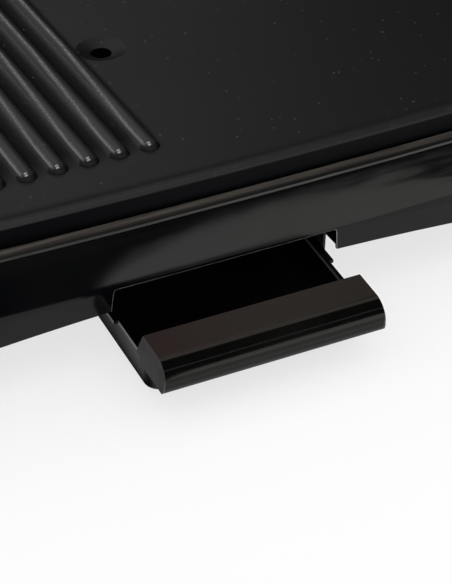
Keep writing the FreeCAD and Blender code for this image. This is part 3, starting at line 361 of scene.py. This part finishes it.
class Finish:
    """One node material under construction: a Principled shader fed by groups and by masks."""

    def __init__(self, name, color, rough, metal=0.0):
        self.material = bpy.data.materials.new(name)
        self.material.use_nodes = True
        self.tree = self.material.node_tree
        self.shader = self.tree.nodes["Principled BSDF"]
        self.shader.inputs["Base Color"].default_value = (*color, 1.0)
        self.shader.inputs["Roughness"].default_value = rough
        self.shader.inputs["Metallic"].default_value = metal
        self.position = self.tree.nodes.new("ShaderNodeTexCoord").outputs["Object"]

    def group(self, tree, **values):
        """Place a shared group, fed with the position on the piece and with its own values."""
        node = self.tree.nodes.new("ShaderNodeGroup")
        node.node_tree = tree
        if "Position" in node.inputs:
            self.tree.links.new(self.position, node.inputs["Position"])
        for label, value in values.items():
            node.inputs[label].default_value = value
        return node.outputs

    def axis(self, name):
        """Place on the piece along an axis, in metres."""
        return parts_of(self.tree, self.position)[name]

    def facing(self, name):
        """How far the shape faces along an axis, from -1 to 1."""
        return parts_of(self.tree, shape_normal(self.tree))[name]

    def unsigned(self, value):
        return math_node(self.tree, "ABSOLUTE", value)

    def minus(self, a, b):
        return math_node(self.tree, "SUBTRACT", a, b)

    def without(self, mask, other):
        """What is left of a mask outside another one."""
        return math_node(self.tree, "SUBTRACT", mask, other, clamp=True)

    def either(self, *masks):
        """The strongest of a few masks."""
        strongest = masks[0]
        for mask in masks[1:]:
            strongest = math_node(self.tree, "MAXIMUM", strongest, mask)
        return strongest

    def times(self, *factors):
        product = factors[0]
        for factor in factors[1:]:
            product = math_node(self.tree, "MULTIPLY", product, factor)
        return product

    def over(self, value, limit):
        return math_node(self.tree, "GREATER_THAN", value, limit)

    def under(self, value, limit):
        return math_node(self.tree, "LESS_THAN", value, limit)

    def ramp(self, value, low, high, start=0.0, end=1.0):
        """Straight ramp between two limits, from start to end."""
        return remap(self.tree, value, low, high, start, end)

    def fall(self, value, low, high):
        """Mask that is full below two limits and gone above them."""
        return remap(self.tree, value, low, high, start=1.0, end=0.0)

    def band(self, value, low, high, blur):
        """Mask of the values between two limits, with soft edges inside them."""
        inside = math_node(self.tree, "MINIMUM", self.minus(value, low), self.minus(high, value))
        return math_node(self.tree, "DIVIDE", inside, blur, clamp=True)

    def blend(self, factor, a, b):
        """Mix of two numbers, either of which may be a socket."""
        node = self.tree.nodes.new("ShaderNodeMix")
        self.tree.links.new(factor, node.inputs["Factor"])
        for label, value in (("A", a), ("B", b)):
            socket = [s for s in node.inputs if s.name == label and s.type == "VALUE"][0]
            connect(self.tree, value, socket)
        return [s for s in node.outputs if s.type == "VALUE"][0]

    def mix(self, factor, a, b):
        """Mix of two colours, either of which may be a socket."""
        node = self.tree.nodes.new("ShaderNodeMix")
        node.data_type = "RGBA"
        self.tree.links.new(factor, node.inputs["Factor"])
        for label, value in (("A", a), ("B", b)):
            socket = [s for s in node.inputs if s.name == label and s.type == "RGBA"][0]
            connect(self.tree, (*value, 1.0) if isinstance(value, tuple) else value, socket)
        return [s for s in node.outputs if s.type == "RGBA"][0]

    def feed(self, label, output):
        """Link a socket to an input of the shader."""
        self.tree.links.new(output, self.shader.inputs[label])

    def paint_over(self, mask, color):
        """Lay a colour over what already feeds the base colour."""
        below = self.shader.inputs["Base Color"].links[0].from_socket
        self.feed("Base Color", self.mix(mask, below, color))

    def bump(self, height, strength, distance):
        """Add a bump on top of any that the shader already has."""
        node = self.tree.nodes.new("ShaderNodeBump")
        node.inputs["Strength"].default_value = strength
        node.inputs["Distance"].default_value = distance
        self.tree.links.new(height, node.inputs["Height"])
        previous = self.shader.inputs["Normal"]
        if previous.is_linked:
            self.tree.links.new(previous.links[0].from_socket, node.inputs["Normal"])
        self.tree.links.new(node.outputs["Normal"], previous)


def gloss_moulding(name, color, worn, rough, smudge_scale, lean=None):
    """Glossy moulded plastic: faint smudges, uneven gloss and a barely wavy skin."""
    finish = Finish(name, color, rough)
    if lean:
        finish.feed("Normal", finish.group(lean)["Normal"])
    smudges = finish.group(SMUDGES, Scale=smudge_scale, Amount=1.0)
    grain = finish.group(GRAIN, Scale=1400.0)
    finish.feed("Base Color", finish.mix(smudges["Smudge"], color, worn))
    finish.feed("Roughness", finish.ramp(smudges["Smudge"], 0.0, 1.0, start=rough, end=rough + 0.09))
    finish.bump(smudges["Waviness"], strength=0.1, distance=0.0006)
    finish.bump(grain["Grain"], strength=0.05, distance=0.00004)
    return finish


def matt_moulding(name, color, worn, rough, grain_scale=700.0):
    """Fine-grained matt plastic, resin, rubber or glazed ceramic."""
    finish = Finish(name, color, rough)
    smudges = finish.group(SMUDGES, Scale=22.0, Amount=1.0)
    grain = finish.group(GRAIN, Scale=grain_scale)
    uneven = finish.ramp(grain["Grain"], *GRAIN_SPREAD, start=rough - 0.06, end=rough + 0.08)
    finish.feed("Base Color", finish.mix(smudges["Smudge"], color, worn))
    finish.feed("Roughness", uneven)
    finish.bump(grain["Grain"], strength=0.35, distance=0.00012)
    return finish.material


def plain_metal(name, color, worn, rough, stretch=EVEN, grain_scale=900.0):
    """Bare or plated metal with drawn or rolled grain and dull patches."""
    finish = Finish(name, color, rough, metal=1.0)
    smudges = finish.group(SMUDGES, Scale=30.0, Amount=1.0)
    grain = finish.group(GRAIN, Scale=grain_scale, Stretch=stretch)
    uneven = finish.ramp(grain["Grain"], *GRAIN_SPREAD, start=rough - 0.05, end=rough + 0.1)
    finish.feed("Base Color", finish.mix(smudges["Smudge"], color, worn))
    finish.feed("Roughness", uneven)
    finish.bump(grain["Grain"], strength=0.2, distance=0.00006)
    return finish.material


def left_of_flat_half(finish):
    """Distance to the left of the line where the plate's flat half ends, in metres."""
    return finish.minus(RIB_FIRST_X + RIB_PITCH / 2, finish.axis("X"))


def over_plate(finish):
    """Height over the plate's flat top, in metres."""
    return finish.minus(finish.axis("Z"), PLATE_TOP_Z)


def rib_zone(finish):
    """Mask of the ribbed half of the plate, clear of its raised rim."""
    leftwards = left_of_flat_half(finish)
    inside = finish.over(leftwards, 0.0)
    before_last = finish.under(leftwards, RIB_PITCH * RIB_COUNT)
    behind_ends = finish.over(finish.axis("Y"), RIB_FRONT_Y)
    return finish.times(inside, before_last, behind_ends)


def left_of_rib(finish):
    """Distance to the left of the nearest rib's middle in metres, negative to its right."""
    pitches = math_node(finish.tree, "DIVIDE", left_of_flat_half(finish), RIB_PITCH)
    share = math_node(finish.tree, "FRACT", pitches)
    return finish.times(finish.minus(share, 0.5), RIB_PITCH)


def rib_crown_highlights(finish, high, left):
    """Mask of the painted highlight on the ribs' crowns, stronger to the left and faintly streaked along
    them.
    """
    fading = finish.ramp(left, -RIB_HALF_WIDTH, RIB_MIDDLE_BLEND, start=0.45, end=1.0)
    grain = finish.group(GRAIN, Scale=1.0, Stretch=RIB_STREAKS)["Grain"]
    streaks = finish.ramp(grain, *GRAIN_SPREAD, start=0.7, end=1.0)
    return finish.times(high, fading, streaks)


def rib_glint_line(finish, high, left, grain):
    """Mask of the painted glint line along each rib: grainy all along, with a bright core at the front.
    """
    y = finish.axis("Y")
    line_place = finish.ramp(y, GLINT_FRONT_Y, GLINT_BACK_Y, start=GLINT_LEFT, end=0.0)
    aside = finish.unsigned(finish.minus(left, line_place))
    broken = finish.ramp(grain, *GLINT_GRAIN, start=0.1, end=0.8)
    fainter = finish.ramp(y, GLINT_FULL_Y, GLINT_FAINT_Y, start=1.0, end=0.8)
    grainy = finish.times(finish.fall(aside, *GLINT_WIDTH), high, broken, fainter)
    core = finish.ramp(aside, 0.0, GLINT_CORE, start=0.8, end=0.0)
    core = finish.times(core, high, finish.fall(y, GLINT_FRONT_Y, GLINT_CORE_END_Y))
    return finish.either(grainy, core)


def rib_end_glints(finish, ribbed, left):
    """Mask of the painted glint at each rib's front end, with a darker line across its middle."""
    y = finish.axis("Y")
    along = finish.band(y, RIB_TIP_Y, RIB_TIP_Y + SPOT_LENGTH, SPOT_BLEND)
    across = finish.band(left, 0.0, SPOT_WIDTH, SPOT_BLEND)
    from_middle = finish.unsigned(finish.minus(y, RIB_TIP_Y + SPOT_LENGTH / 2))
    halves = finish.ramp(from_middle, *SPOT_GAP, start=0.3, end=1.0)
    raised = finish.ramp(over_plate(finish), *SPOT_RISE)
    return finish.times(along, across, ribbed, halves, raised)


def rib_groove_shade(finish, ribbed, left):
    """Mask of the painted shade in the grooves, which dulls them: strongest at a rib's right foot,
    weakest at the next one's left.
    """
    low = finish.fall(over_plate(finish), *GROOVE_RISE)
    along = finish.ramp(finish.axis("Y"), RIB_FRONT_Y, RIB_FRONT_Y + GROOVE_FADE)
    right_foot = finish.ramp(left, -RIB_HALF_WIDTH, -RIB_PITCH / 2, start=1.0, end=0.75)
    left_foot = finish.ramp(left, RIB_HALF_WIDTH, RIB_PITCH / 2, start=0.35, end=0.75)
    side = finish.blend(finish.over(left, 0.0), right_foot, left_foot)
    from_flat = finish.ramp(left_of_flat_half(finish), 0.0, RIB_PITCH * GROOVE_END_SHARE)
    return finish.times(ribbed, low, along, side, from_flat)


def rib_tips(finish, ribbed, left):
    """Mask of the ribs' front slopes, without their dark right side."""
    from_tip = finish.minus(finish.axis("Y"), RIB_TIP_Y)
    return finish.times(ribbed, finish.fall(from_tip, *TIP_START), finish.ramp(left, *TIP_RIGHT))


def rim_edge_glint(finish, ribbed, specks):
    """Mask of the faint painted highlight on the rim's rounded edge, broken up by specks."""
    steep = finish.unsigned(finish.facing("Z"))
    rounded = finish.times(finish.ramp(steep, *ROUNDED), finish.fall(steep, *LEVEL))
    edge = finish.ramp(finish.axis("Z"), RIM_EDGE_Z, RIM_EDGE_Z + RIM_EDGE_BLEND, start=0.0, end=0.12)
    edge = finish.without(finish.times(rounded, edge), ribbed)
    return finish.times(edge, finish.ramp(specks, 0.0, 0.4, start=0.5, end=1.0))


def nonstick_coat():
    """Dark sprayed coat: satin on the flat and specked, dulled as painted shade in the grooves and on the
    walls, with painted highlights and glints on the ribs and the rim.
    """
    flat_tone = (0.0026, 0.0028, 0.0036)
    wall_shade_tone = (0.0016, 0.0019, 0.003)
    crown_highlight_tone = (0.028, 0.028, 0.03)
    speck_and_glint_tone = (0.34, 0.34, 0.35)
    finish = Finish("nonstick_coat", flat_tone, 0.42)
    smudges = finish.group(SMUDGES, Scale=7.0, Amount=1.0)
    grain = finish.group(GRAIN, Scale=1500.0)
    rise = over_plate(finish)
    up = finish.facing("Z")
    upright = finish.fall(finish.unsigned(up), 0.15, 0.5)
    level = finish.ramp(up, *LEVEL)

    ribbed = rib_zone(finish)
    left = left_of_rib(finish)
    high = finish.times(finish.ramp(finish.axis("Z"), PLATE_TOP_Z + RIB_CROWN_RISE, RIB_TOP_Z), ribbed)
    tips = rib_tips(finish, ribbed, left)
    grooves = rib_groove_shade(finish, ribbed, left)
    tip_highlights = finish.times(tips, finish.ramp(rise, *TIP_RISE, start=0.0, end=0.45))
    crowns = finish.either(rib_crown_highlights(finish, high, left), tip_highlights)
    glints = finish.either(rib_glint_line(finish, high, left, grain["Grain"]), rib_end_glints(finish, ribbed, left))

    speckled = finish.ramp(grain["Grain"], *GRAIN_SPREAD, start=0.4, end=1.0)
    rim = finish.times(finish.ramp(rise, *RIM_LIT_RISE, start=0.0, end=0.5), speckled, level)
    # Painted shade: upright walls get a darker tone.
    color = finish.mix(upright, flat_tone, wall_shade_tone)
    # Painted highlights on the ribs' crowns, on the tips' front slopes and on the rim's crest.
    color = finish.mix(finish.either(crowns, finish.without(rim, ribbed)), color, crown_highlight_tone)
    # Painted glints on the rim's edge, along the ribs and at their ends, with stray pale specks of the
    # coat.
    edge_glints = rim_edge_glint(finish, ribbed, grain["Specks"])
    sparse = finish.group(GRAIN, Scale=170.0)["Specks"]
    stray = finish.times(finish.ramp(sparse, *STRAY_SPECKS, start=0.0, end=0.1), level)
    finish.feed("Base Color", finish.mix(finish.either(edge_glints, stray, glints), color, speck_and_glint_tone))

    rough = finish.ramp(smudges["Smudge"], 0.0, 1.0, start=0.4, end=0.47)
    rougher = math_node(finish.tree, "ADD", rough, finish.times(grooves, 0.3), clamp=True)
    finish.feed("Roughness", rougher)
    # Painted shade: the grooves and the upright walls, apart from the tips, reflect less; the grooves are
    # also rougher.
    dull = finish.either(grooves, finish.without(upright, tips))
    finish.feed("Specular IOR Level", finish.ramp(dull, 0.0, 1.0, start=FULL_SHEEN, end=SHADE_SHEEN))
    finish.bump(grain["Grain"], strength=0.3, distance=0.00008)
    return finish.material


def glossy_housing():
    """Gloss black skirt: a crowned front face and a painted highlight along the notch's rounded edge."""
    black = (0.0016, 0.0018, 0.0024)
    smudged = (0.004, 0.0041, 0.0042)
    notch_highlight = (0.42, 0.41, 0.39)
    finish = gloss_moulding("housing_gloss", black, smudged, 0.1, smudge_scale=9.0, lean=CROWNED)
    beside = finish.under(finish.unsigned(finish.axis("X")), NOTCH_HALF_WIDTH + NOTCH_ROUND_WIDTH)
    in_front = finish.under(finish.axis("Y"), FRONT_FACE_Y + NOTCH_ROUND_DEPTH)
    line_top = NOTCH_TOP_Z + NOTCH_ROUND_RISE
    near_notch = finish.band(finish.axis("Z"), NOTCH_LOW_Z, line_top, NOTCH_LINE_BLEND)
    turned = finish.band(finish.unsigned(finish.facing("Y")), 0.2, 0.97, 0.1)
    # Painted highlight: a pale line along the notch's rounded edge.
    finish.paint_over(finish.times(beside, in_front, near_notch, turned), notch_highlight)
    patches = noise(finish.tree, finish.position, scale=12.0, detail=4.0, roughness=0.62)
    patches = finish.ramp(patches, *SMUDGE_SPREAD)
    finish.feed("Specular Tint", finish.mix(patches, (1.0, 1.0, 0.97), (0.98, 0.99, 0.92)))
    return finish.material


def glossy_tub():
    """Gloss black tub: outer walls that darken downwards, between painted highlights along the rim and
    the bead.
    """
    black = (0.0015, 0.0014, 0.0014)
    smudged = (0.004, 0.0038, 0.0036)
    line = (0.11, 0.108, 0.1)
    finish = gloss_moulding("tray_gloss", black, smudged, 0.1, smudge_scale=24.0)
    from_start = finish.minus(finish.axis("Y"), TRAY_START_Y)
    height = finish.minus(finish.axis("Z"), finish.times(from_start, TRAY_SLOPE))
    sideways = finish.ramp(finish.unsigned(finish.facing("X")), 0.6, 0.85)
    outer_wall = finish.times(sideways, finish.over(finish.unsigned(finish.axis("X")), TUB_INNER_X))
    backwards = finish.ramp(from_start, *TUB_SHADE_REACH, start=1.0, end=0.4)
    shade = finish.times(finish.ramp(height, *TUB_SHADE_RISE), backwards)
    wall_ior = finish.ramp(shade, 0.0, 1.0, start=SHADE_IOR, end=PLASTIC_IOR)
    finish.feed("IOR", finish.blend(outer_wall, PLASTIC_IOR, wall_ior))
    # Painted highlights: pale lines along the outer walls' rim and bead.
    rim = finish.band(height, *TUB_RIM_HIGHLIGHT, TUB_RIM_BLEND)
    bead = finish.band(height, *TUB_BEAD_HIGHLIGHT, TUB_BEAD_BLEND)
    finish.paint_over(finish.times(outer_wall, finish.either(rim, bead)), line)
    return finish.material


def domed_grip():
    """Black gloss of the grip, whose flat top is a little domed towards the front and has a brown painted
    reflection tint.
    """
    black = (0.002, 0.0018, 0.0017)
    smudged = (0.005, 0.0045, 0.0042)
    line = (0.1, 0.09, 0.082)
    finish = gloss_moulding("grip_gloss", black, smudged, 0.12, smudge_scale=30.0, lean=DOMED)
    up = finish.facing("Z")
    # Painted reflection colour: the level top's reflections are tinted brown, redder to the left.
    redder_reflection = finish.fall(finish.axis("X"), GRIP_RED_REFLECTION_X, 0.0)
    top_reflection_tint = finish.mix(redder_reflection, (1.0, 0.82, 0.72), (0.92, 0.58, 0.56))
    finish.feed("Specular Tint", finish.mix(finish.ramp(up, *LEVEL), (1.0, 1.0, 0.97), top_reflection_tint))
    # Painted highlights: a pale line along the end edges beside the caps, and one along the bend of the
    # top.
    cap = finish.ramp(finish.unsigned(finish.facing("X")), 0.9, 0.99)
    near_end = finish.over(finish.unsigned(finish.axis("X")), GRIP_HALF_WIDTH - GRIP_END_HIGHLIGHT)
    end_edge_highlight = finish.times(finish.without(near_end, cap), 0.5)
    crease_highlight = finish.times(finish.band(up, 0.9, 0.995, 0.03), 0.28)
    finish.paint_over(finish.either(end_edge_highlight, crease_highlight), line)
    # Painted shade: the end caps' sheen is lowered, in random patches, to darken them.
    cap_patches = noise(finish.tree, finish.position, scale=90.0, detail=4.0, roughness=0.62)
    cap_shade_sheen = finish.ramp(cap_patches, *SMUDGE_SPREAD, start=0.16, end=0.32)
    finish.feed("Specular IOR Level", finish.blend(cap, FULL_SHEEN, cap_shade_sheen))
    return finish.material


def lined_bezel():
    """Satin ring: a tan painted highlight on the crown with fine lines along it, a dark painted shadow
    line below and a grey painted highlight on the lower bead.
    """
    brown = (0.014, 0.011, 0.0092)
    tan = (0.085, 0.072, 0.061)
    grey = (0.062, 0.061, 0.057)
    dark = (0.003, 0.003, 0.003)
    finish = Finish("bezel_satin", brown, 0.35)
    grain = finish.group(GRAIN, Scale=1.0, Stretch=RING_LINES)["Grain"]
    height = finish.minus(finish.axis("Z"), RING_LOW_Z)
    # Tones by height are painted light: tan highlight on the crown, dark shadow line, grey highlight on
    # the bead.
    color = finish.mix(finish.ramp(height, *RING_CROWN_HIGHLIGHT), brown, tan)
    color = finish.mix(finish.fall(height, *RING_SHADOW), color, dark)
    color = finish.mix(finish.fall(height, *RING_BEAD_HIGHLIGHT), color, grey)
    lines = finish.ramp(grain, 0.38, 0.62, start=0.6, end=0.0)
    finish.feed("Base Color", finish.mix(lines, color, dark))
    finish.feed("Roughness", finish.ramp(grain, *GRAIN_SPREAD, start=0.28, end=0.44))
    finish.bump(grain, strength=0.3, distance=0.0001)
    return finish.material


def rail_moulding():
    """Matt black of the two tray guides."""
    return matt_moulding("rail_moulding", (0.009, 0.009, 0.009), (0.014, 0.0135, 0.013), 0.45)


def handle_moulding():
    """Matt black of the side handles."""
    return matt_moulding("handle_moulding", (0.01, 0.0098, 0.0095), (0.016, 0.0155, 0.015), 0.42)


def socket_moulding():
    """Matt black of the shroud round the terminal pins."""
    return matt_moulding("socket_moulding", (0.012, 0.0115, 0.011), (0.018, 0.017, 0.016), 0.5)


def foot_rubber():
    """Soft black rubber of the feet, with a coarser grain."""
    black = (0.013, 0.013, 0.013)
    return matt_moulding("foot_rubber_matt", black, (0.026, 0.0255, 0.025), 0.75, grain_scale=500.0)


def spacer_resin():
    """Brown heat-proof resin of the spacers under the plate."""
    return matt_moulding("spacer_resin_brown", (0.1, 0.045, 0.018), (0.14, 0.07, 0.03), 0.5)


def ceramic_glaze():
    """Cream glaze of the collars round the pins."""
    return matt_moulding("ceramic_glaze", (0.66, 0.62, 0.54), (0.5, 0.46, 0.38), 0.3)


def screw_plating():
    """Grey plating of every screw."""
    return plain_metal("screw_plating", (0.56, 0.56, 0.55), (0.38, 0.37, 0.35), 0.32)


def shield_sheet():
    """Rolled sheet of the heat shield, with its grain running from front to back."""
    bright = (0.72, 0.72, 0.71)
    return plain_metal("shield_rolled", bright, (0.58, 0.57, 0.55), 0.38, ROLLED, grain_scale=120.0)


def element_sheath():
    """Dull, heat-browned sheath of the heating element."""
    return plain_metal("element_dull", (0.16, 0.15, 0.14), (0.09, 0.07, 0.06), 0.5)


def clamp_steel():
    """Pressed steel of the straps over the element."""
    return plain_metal("clamp_pressed", (0.5, 0.5, 0.49), (0.33, 0.31, 0.29), 0.4)


def pin_steel():
    """Bright steel of the terminal pins."""
    return plain_metal("pin_bright", (0.62, 0.6, 0.56), (0.45, 0.43, 0.4), 0.25)


def paint(slot_name, material):
    """Give a finish to every CAD node of one material slot."""
    nodes = [part["node"] for part in frame["record"]["subparts"] if part["material_slot"] == slot_name]
    for node in nodes:
        mesh = frame["nodes"][node].data
        mesh.materials.clear()
        mesh.materials.append(material)


def flat_card(name, corners, height, material):
    """A flat sheet with the given corners, which belongs to the studio."""
    sheet = bmesh.new()
    sheet.faces.new([sheet.verts.new((x, y, height)) for x, y in corners])
    mesh = bpy.data.meshes.new(name)
    sheet.to_mesh(mesh)
    sheet.free()
    mesh.materials.append(material)
    card = bpy.data.objects.new(name, mesh)
    bpy.context.scene.collection.objects.link(card)
    return card


def square(reach):
    """Corners of a square round the origin."""
    return [(-reach, -reach), (reach, -reach), (reach, reach), (-reach, reach)]


def lit_paper(name, tone, glow):
    """White paper that is lit evenly from all round, so that shadows on it stay pale."""
    material = bpy.data.materials.new(name)
    material.use_nodes = True
    inputs = material.node_tree.nodes["Principled BSDF"].inputs
    inputs["Base Color"].default_value = (tone, tone, tone, 1.0)
    inputs["Roughness"].default_value = 0.9
    inputs["Specular IOR Level"].default_value = 0.0
    inputs["Emission Color"].default_value = (1.0, 1.0, 1.0, 1.0)
    inputs["Emission Strength"].default_value = glow
    return material


def mirror_only(name, corners, height, strength):
    """A glowing or black card that no camera, shadow or diffuse ray meets."""
    material = bpy.data.materials.new(name)
    material.use_nodes = True
    tree = material.node_tree
    tree.nodes.remove(tree.nodes["Principled BSDF"])
    glow = tree.nodes.new("ShaderNodeEmission")
    glow.inputs["Strength"].default_value = strength
    tree.links.new(glow.outputs[0], tree.nodes["Material Output"].inputs["Surface"])
    card = flat_card(name, corners, height, material)
    card.visible_camera = False
    card.visible_shadow = False
    card.visible_diffuse = False


def soft_light(name, place, target, width, depth, power):
    """A rectangular light that only shows as a reflection."""
    data = bpy.data.lights.new(name, "AREA")
    data.shape = "RECTANGLE"
    data.size = width
    data.size_y = depth
    data.energy = power
    light = bpy.data.objects.new(name, data)
    light.location = place
    light.rotation_euler = (Vector(target) - Vector(place)).to_track_quat("-Z", "Y").to_euler()
    light.visible_diffuse = False
    bpy.context.scene.collection.objects.link(light)


def white_room():
    """Surroundings that are white to the camera and nearly dark to mirrors."""
    world = bpy.data.worlds.new("studio")
    world.use_nodes = True
    tree = world.node_tree
    mirrored = tree.nodes.new("ShaderNodeLightPath").outputs["Is Glossy Ray"]
    strength = remap(tree, mirrored, 0.0, 1.0, start=BACKDROP_STRENGTH, end=ROOM_STRENGTH)
    background = tree.nodes["Background"]
    background.inputs["Color"].default_value = (1.0, 1.0, 1.0, 1.0)
    tree.links.new(strength, background.inputs["Strength"])
    return world


def photo_camera():
    """Camera at the photograph's angle, without depth of field."""
    data = bpy.data.cameras.new("camera")
    data.sensor_width = SENSOR
    data.lens = CAMERA_LENS
    data.clip_start = CAMERA_NEAREST
    camera = bpy.data.objects.new("camera", data)
    camera.location = CAMERA_PLACE
    camera.rotation_euler = (math.radians(90.0 - CAMERA_DOWN), 0.0, math.radians(-CAMERA_AZIMUTH))
    bpy.context.scene.collection.objects.link(camera)
    return camera


paint("cooking_plate", nonstick_coat())
paint("bezel", lined_bezel())
paint("housing", glossy_housing())
paint("tray_plastic", glossy_tub())
paint("grip_plastic", domed_grip())
paint("rail_plastic", rail_moulding())
paint("handle_plastic", handle_moulding())
paint("socket_plastic", socket_moulding())
paint("foot_rubber", foot_rubber())
paint("spacer_resin", spacer_resin())
paint("ceramic", ceramic_glaze())
paint("steel_screws", screw_plating())
paint("shield_sheet", shield_sheet())
paint("element_sheath", element_sheath())
paint("clamp_steel", clamp_steel())
paint("pin_steel", pin_steel())

# Studio: a pale floor, cards that stand for the white paper and the dark part of the room, lights.
flat_card("floor", square(FLOOR_REACH), 0.0, lit_paper("floor_white", FLOOR_TONE, FLOOR_GLOW))
mirror_only("paper_mirror", square(CARD_REACH), NEAR_CARD_Z, NEAR_GLOW)
mirror_only("bright_paper", BRIGHT_PAPER, PAPER_Z, PAPER_GLOW)
mirror_only("dark_room", DARK_ROOM, DARK_Z, 0.0)
for name, values in LIGHTS.items():
    soft_light(name, *values)

bpy.context.scene.world = white_room()
bpy.context.scene.camera = photo_camera()
bpy.context.scene.view_settings.view_transform = "Standard"
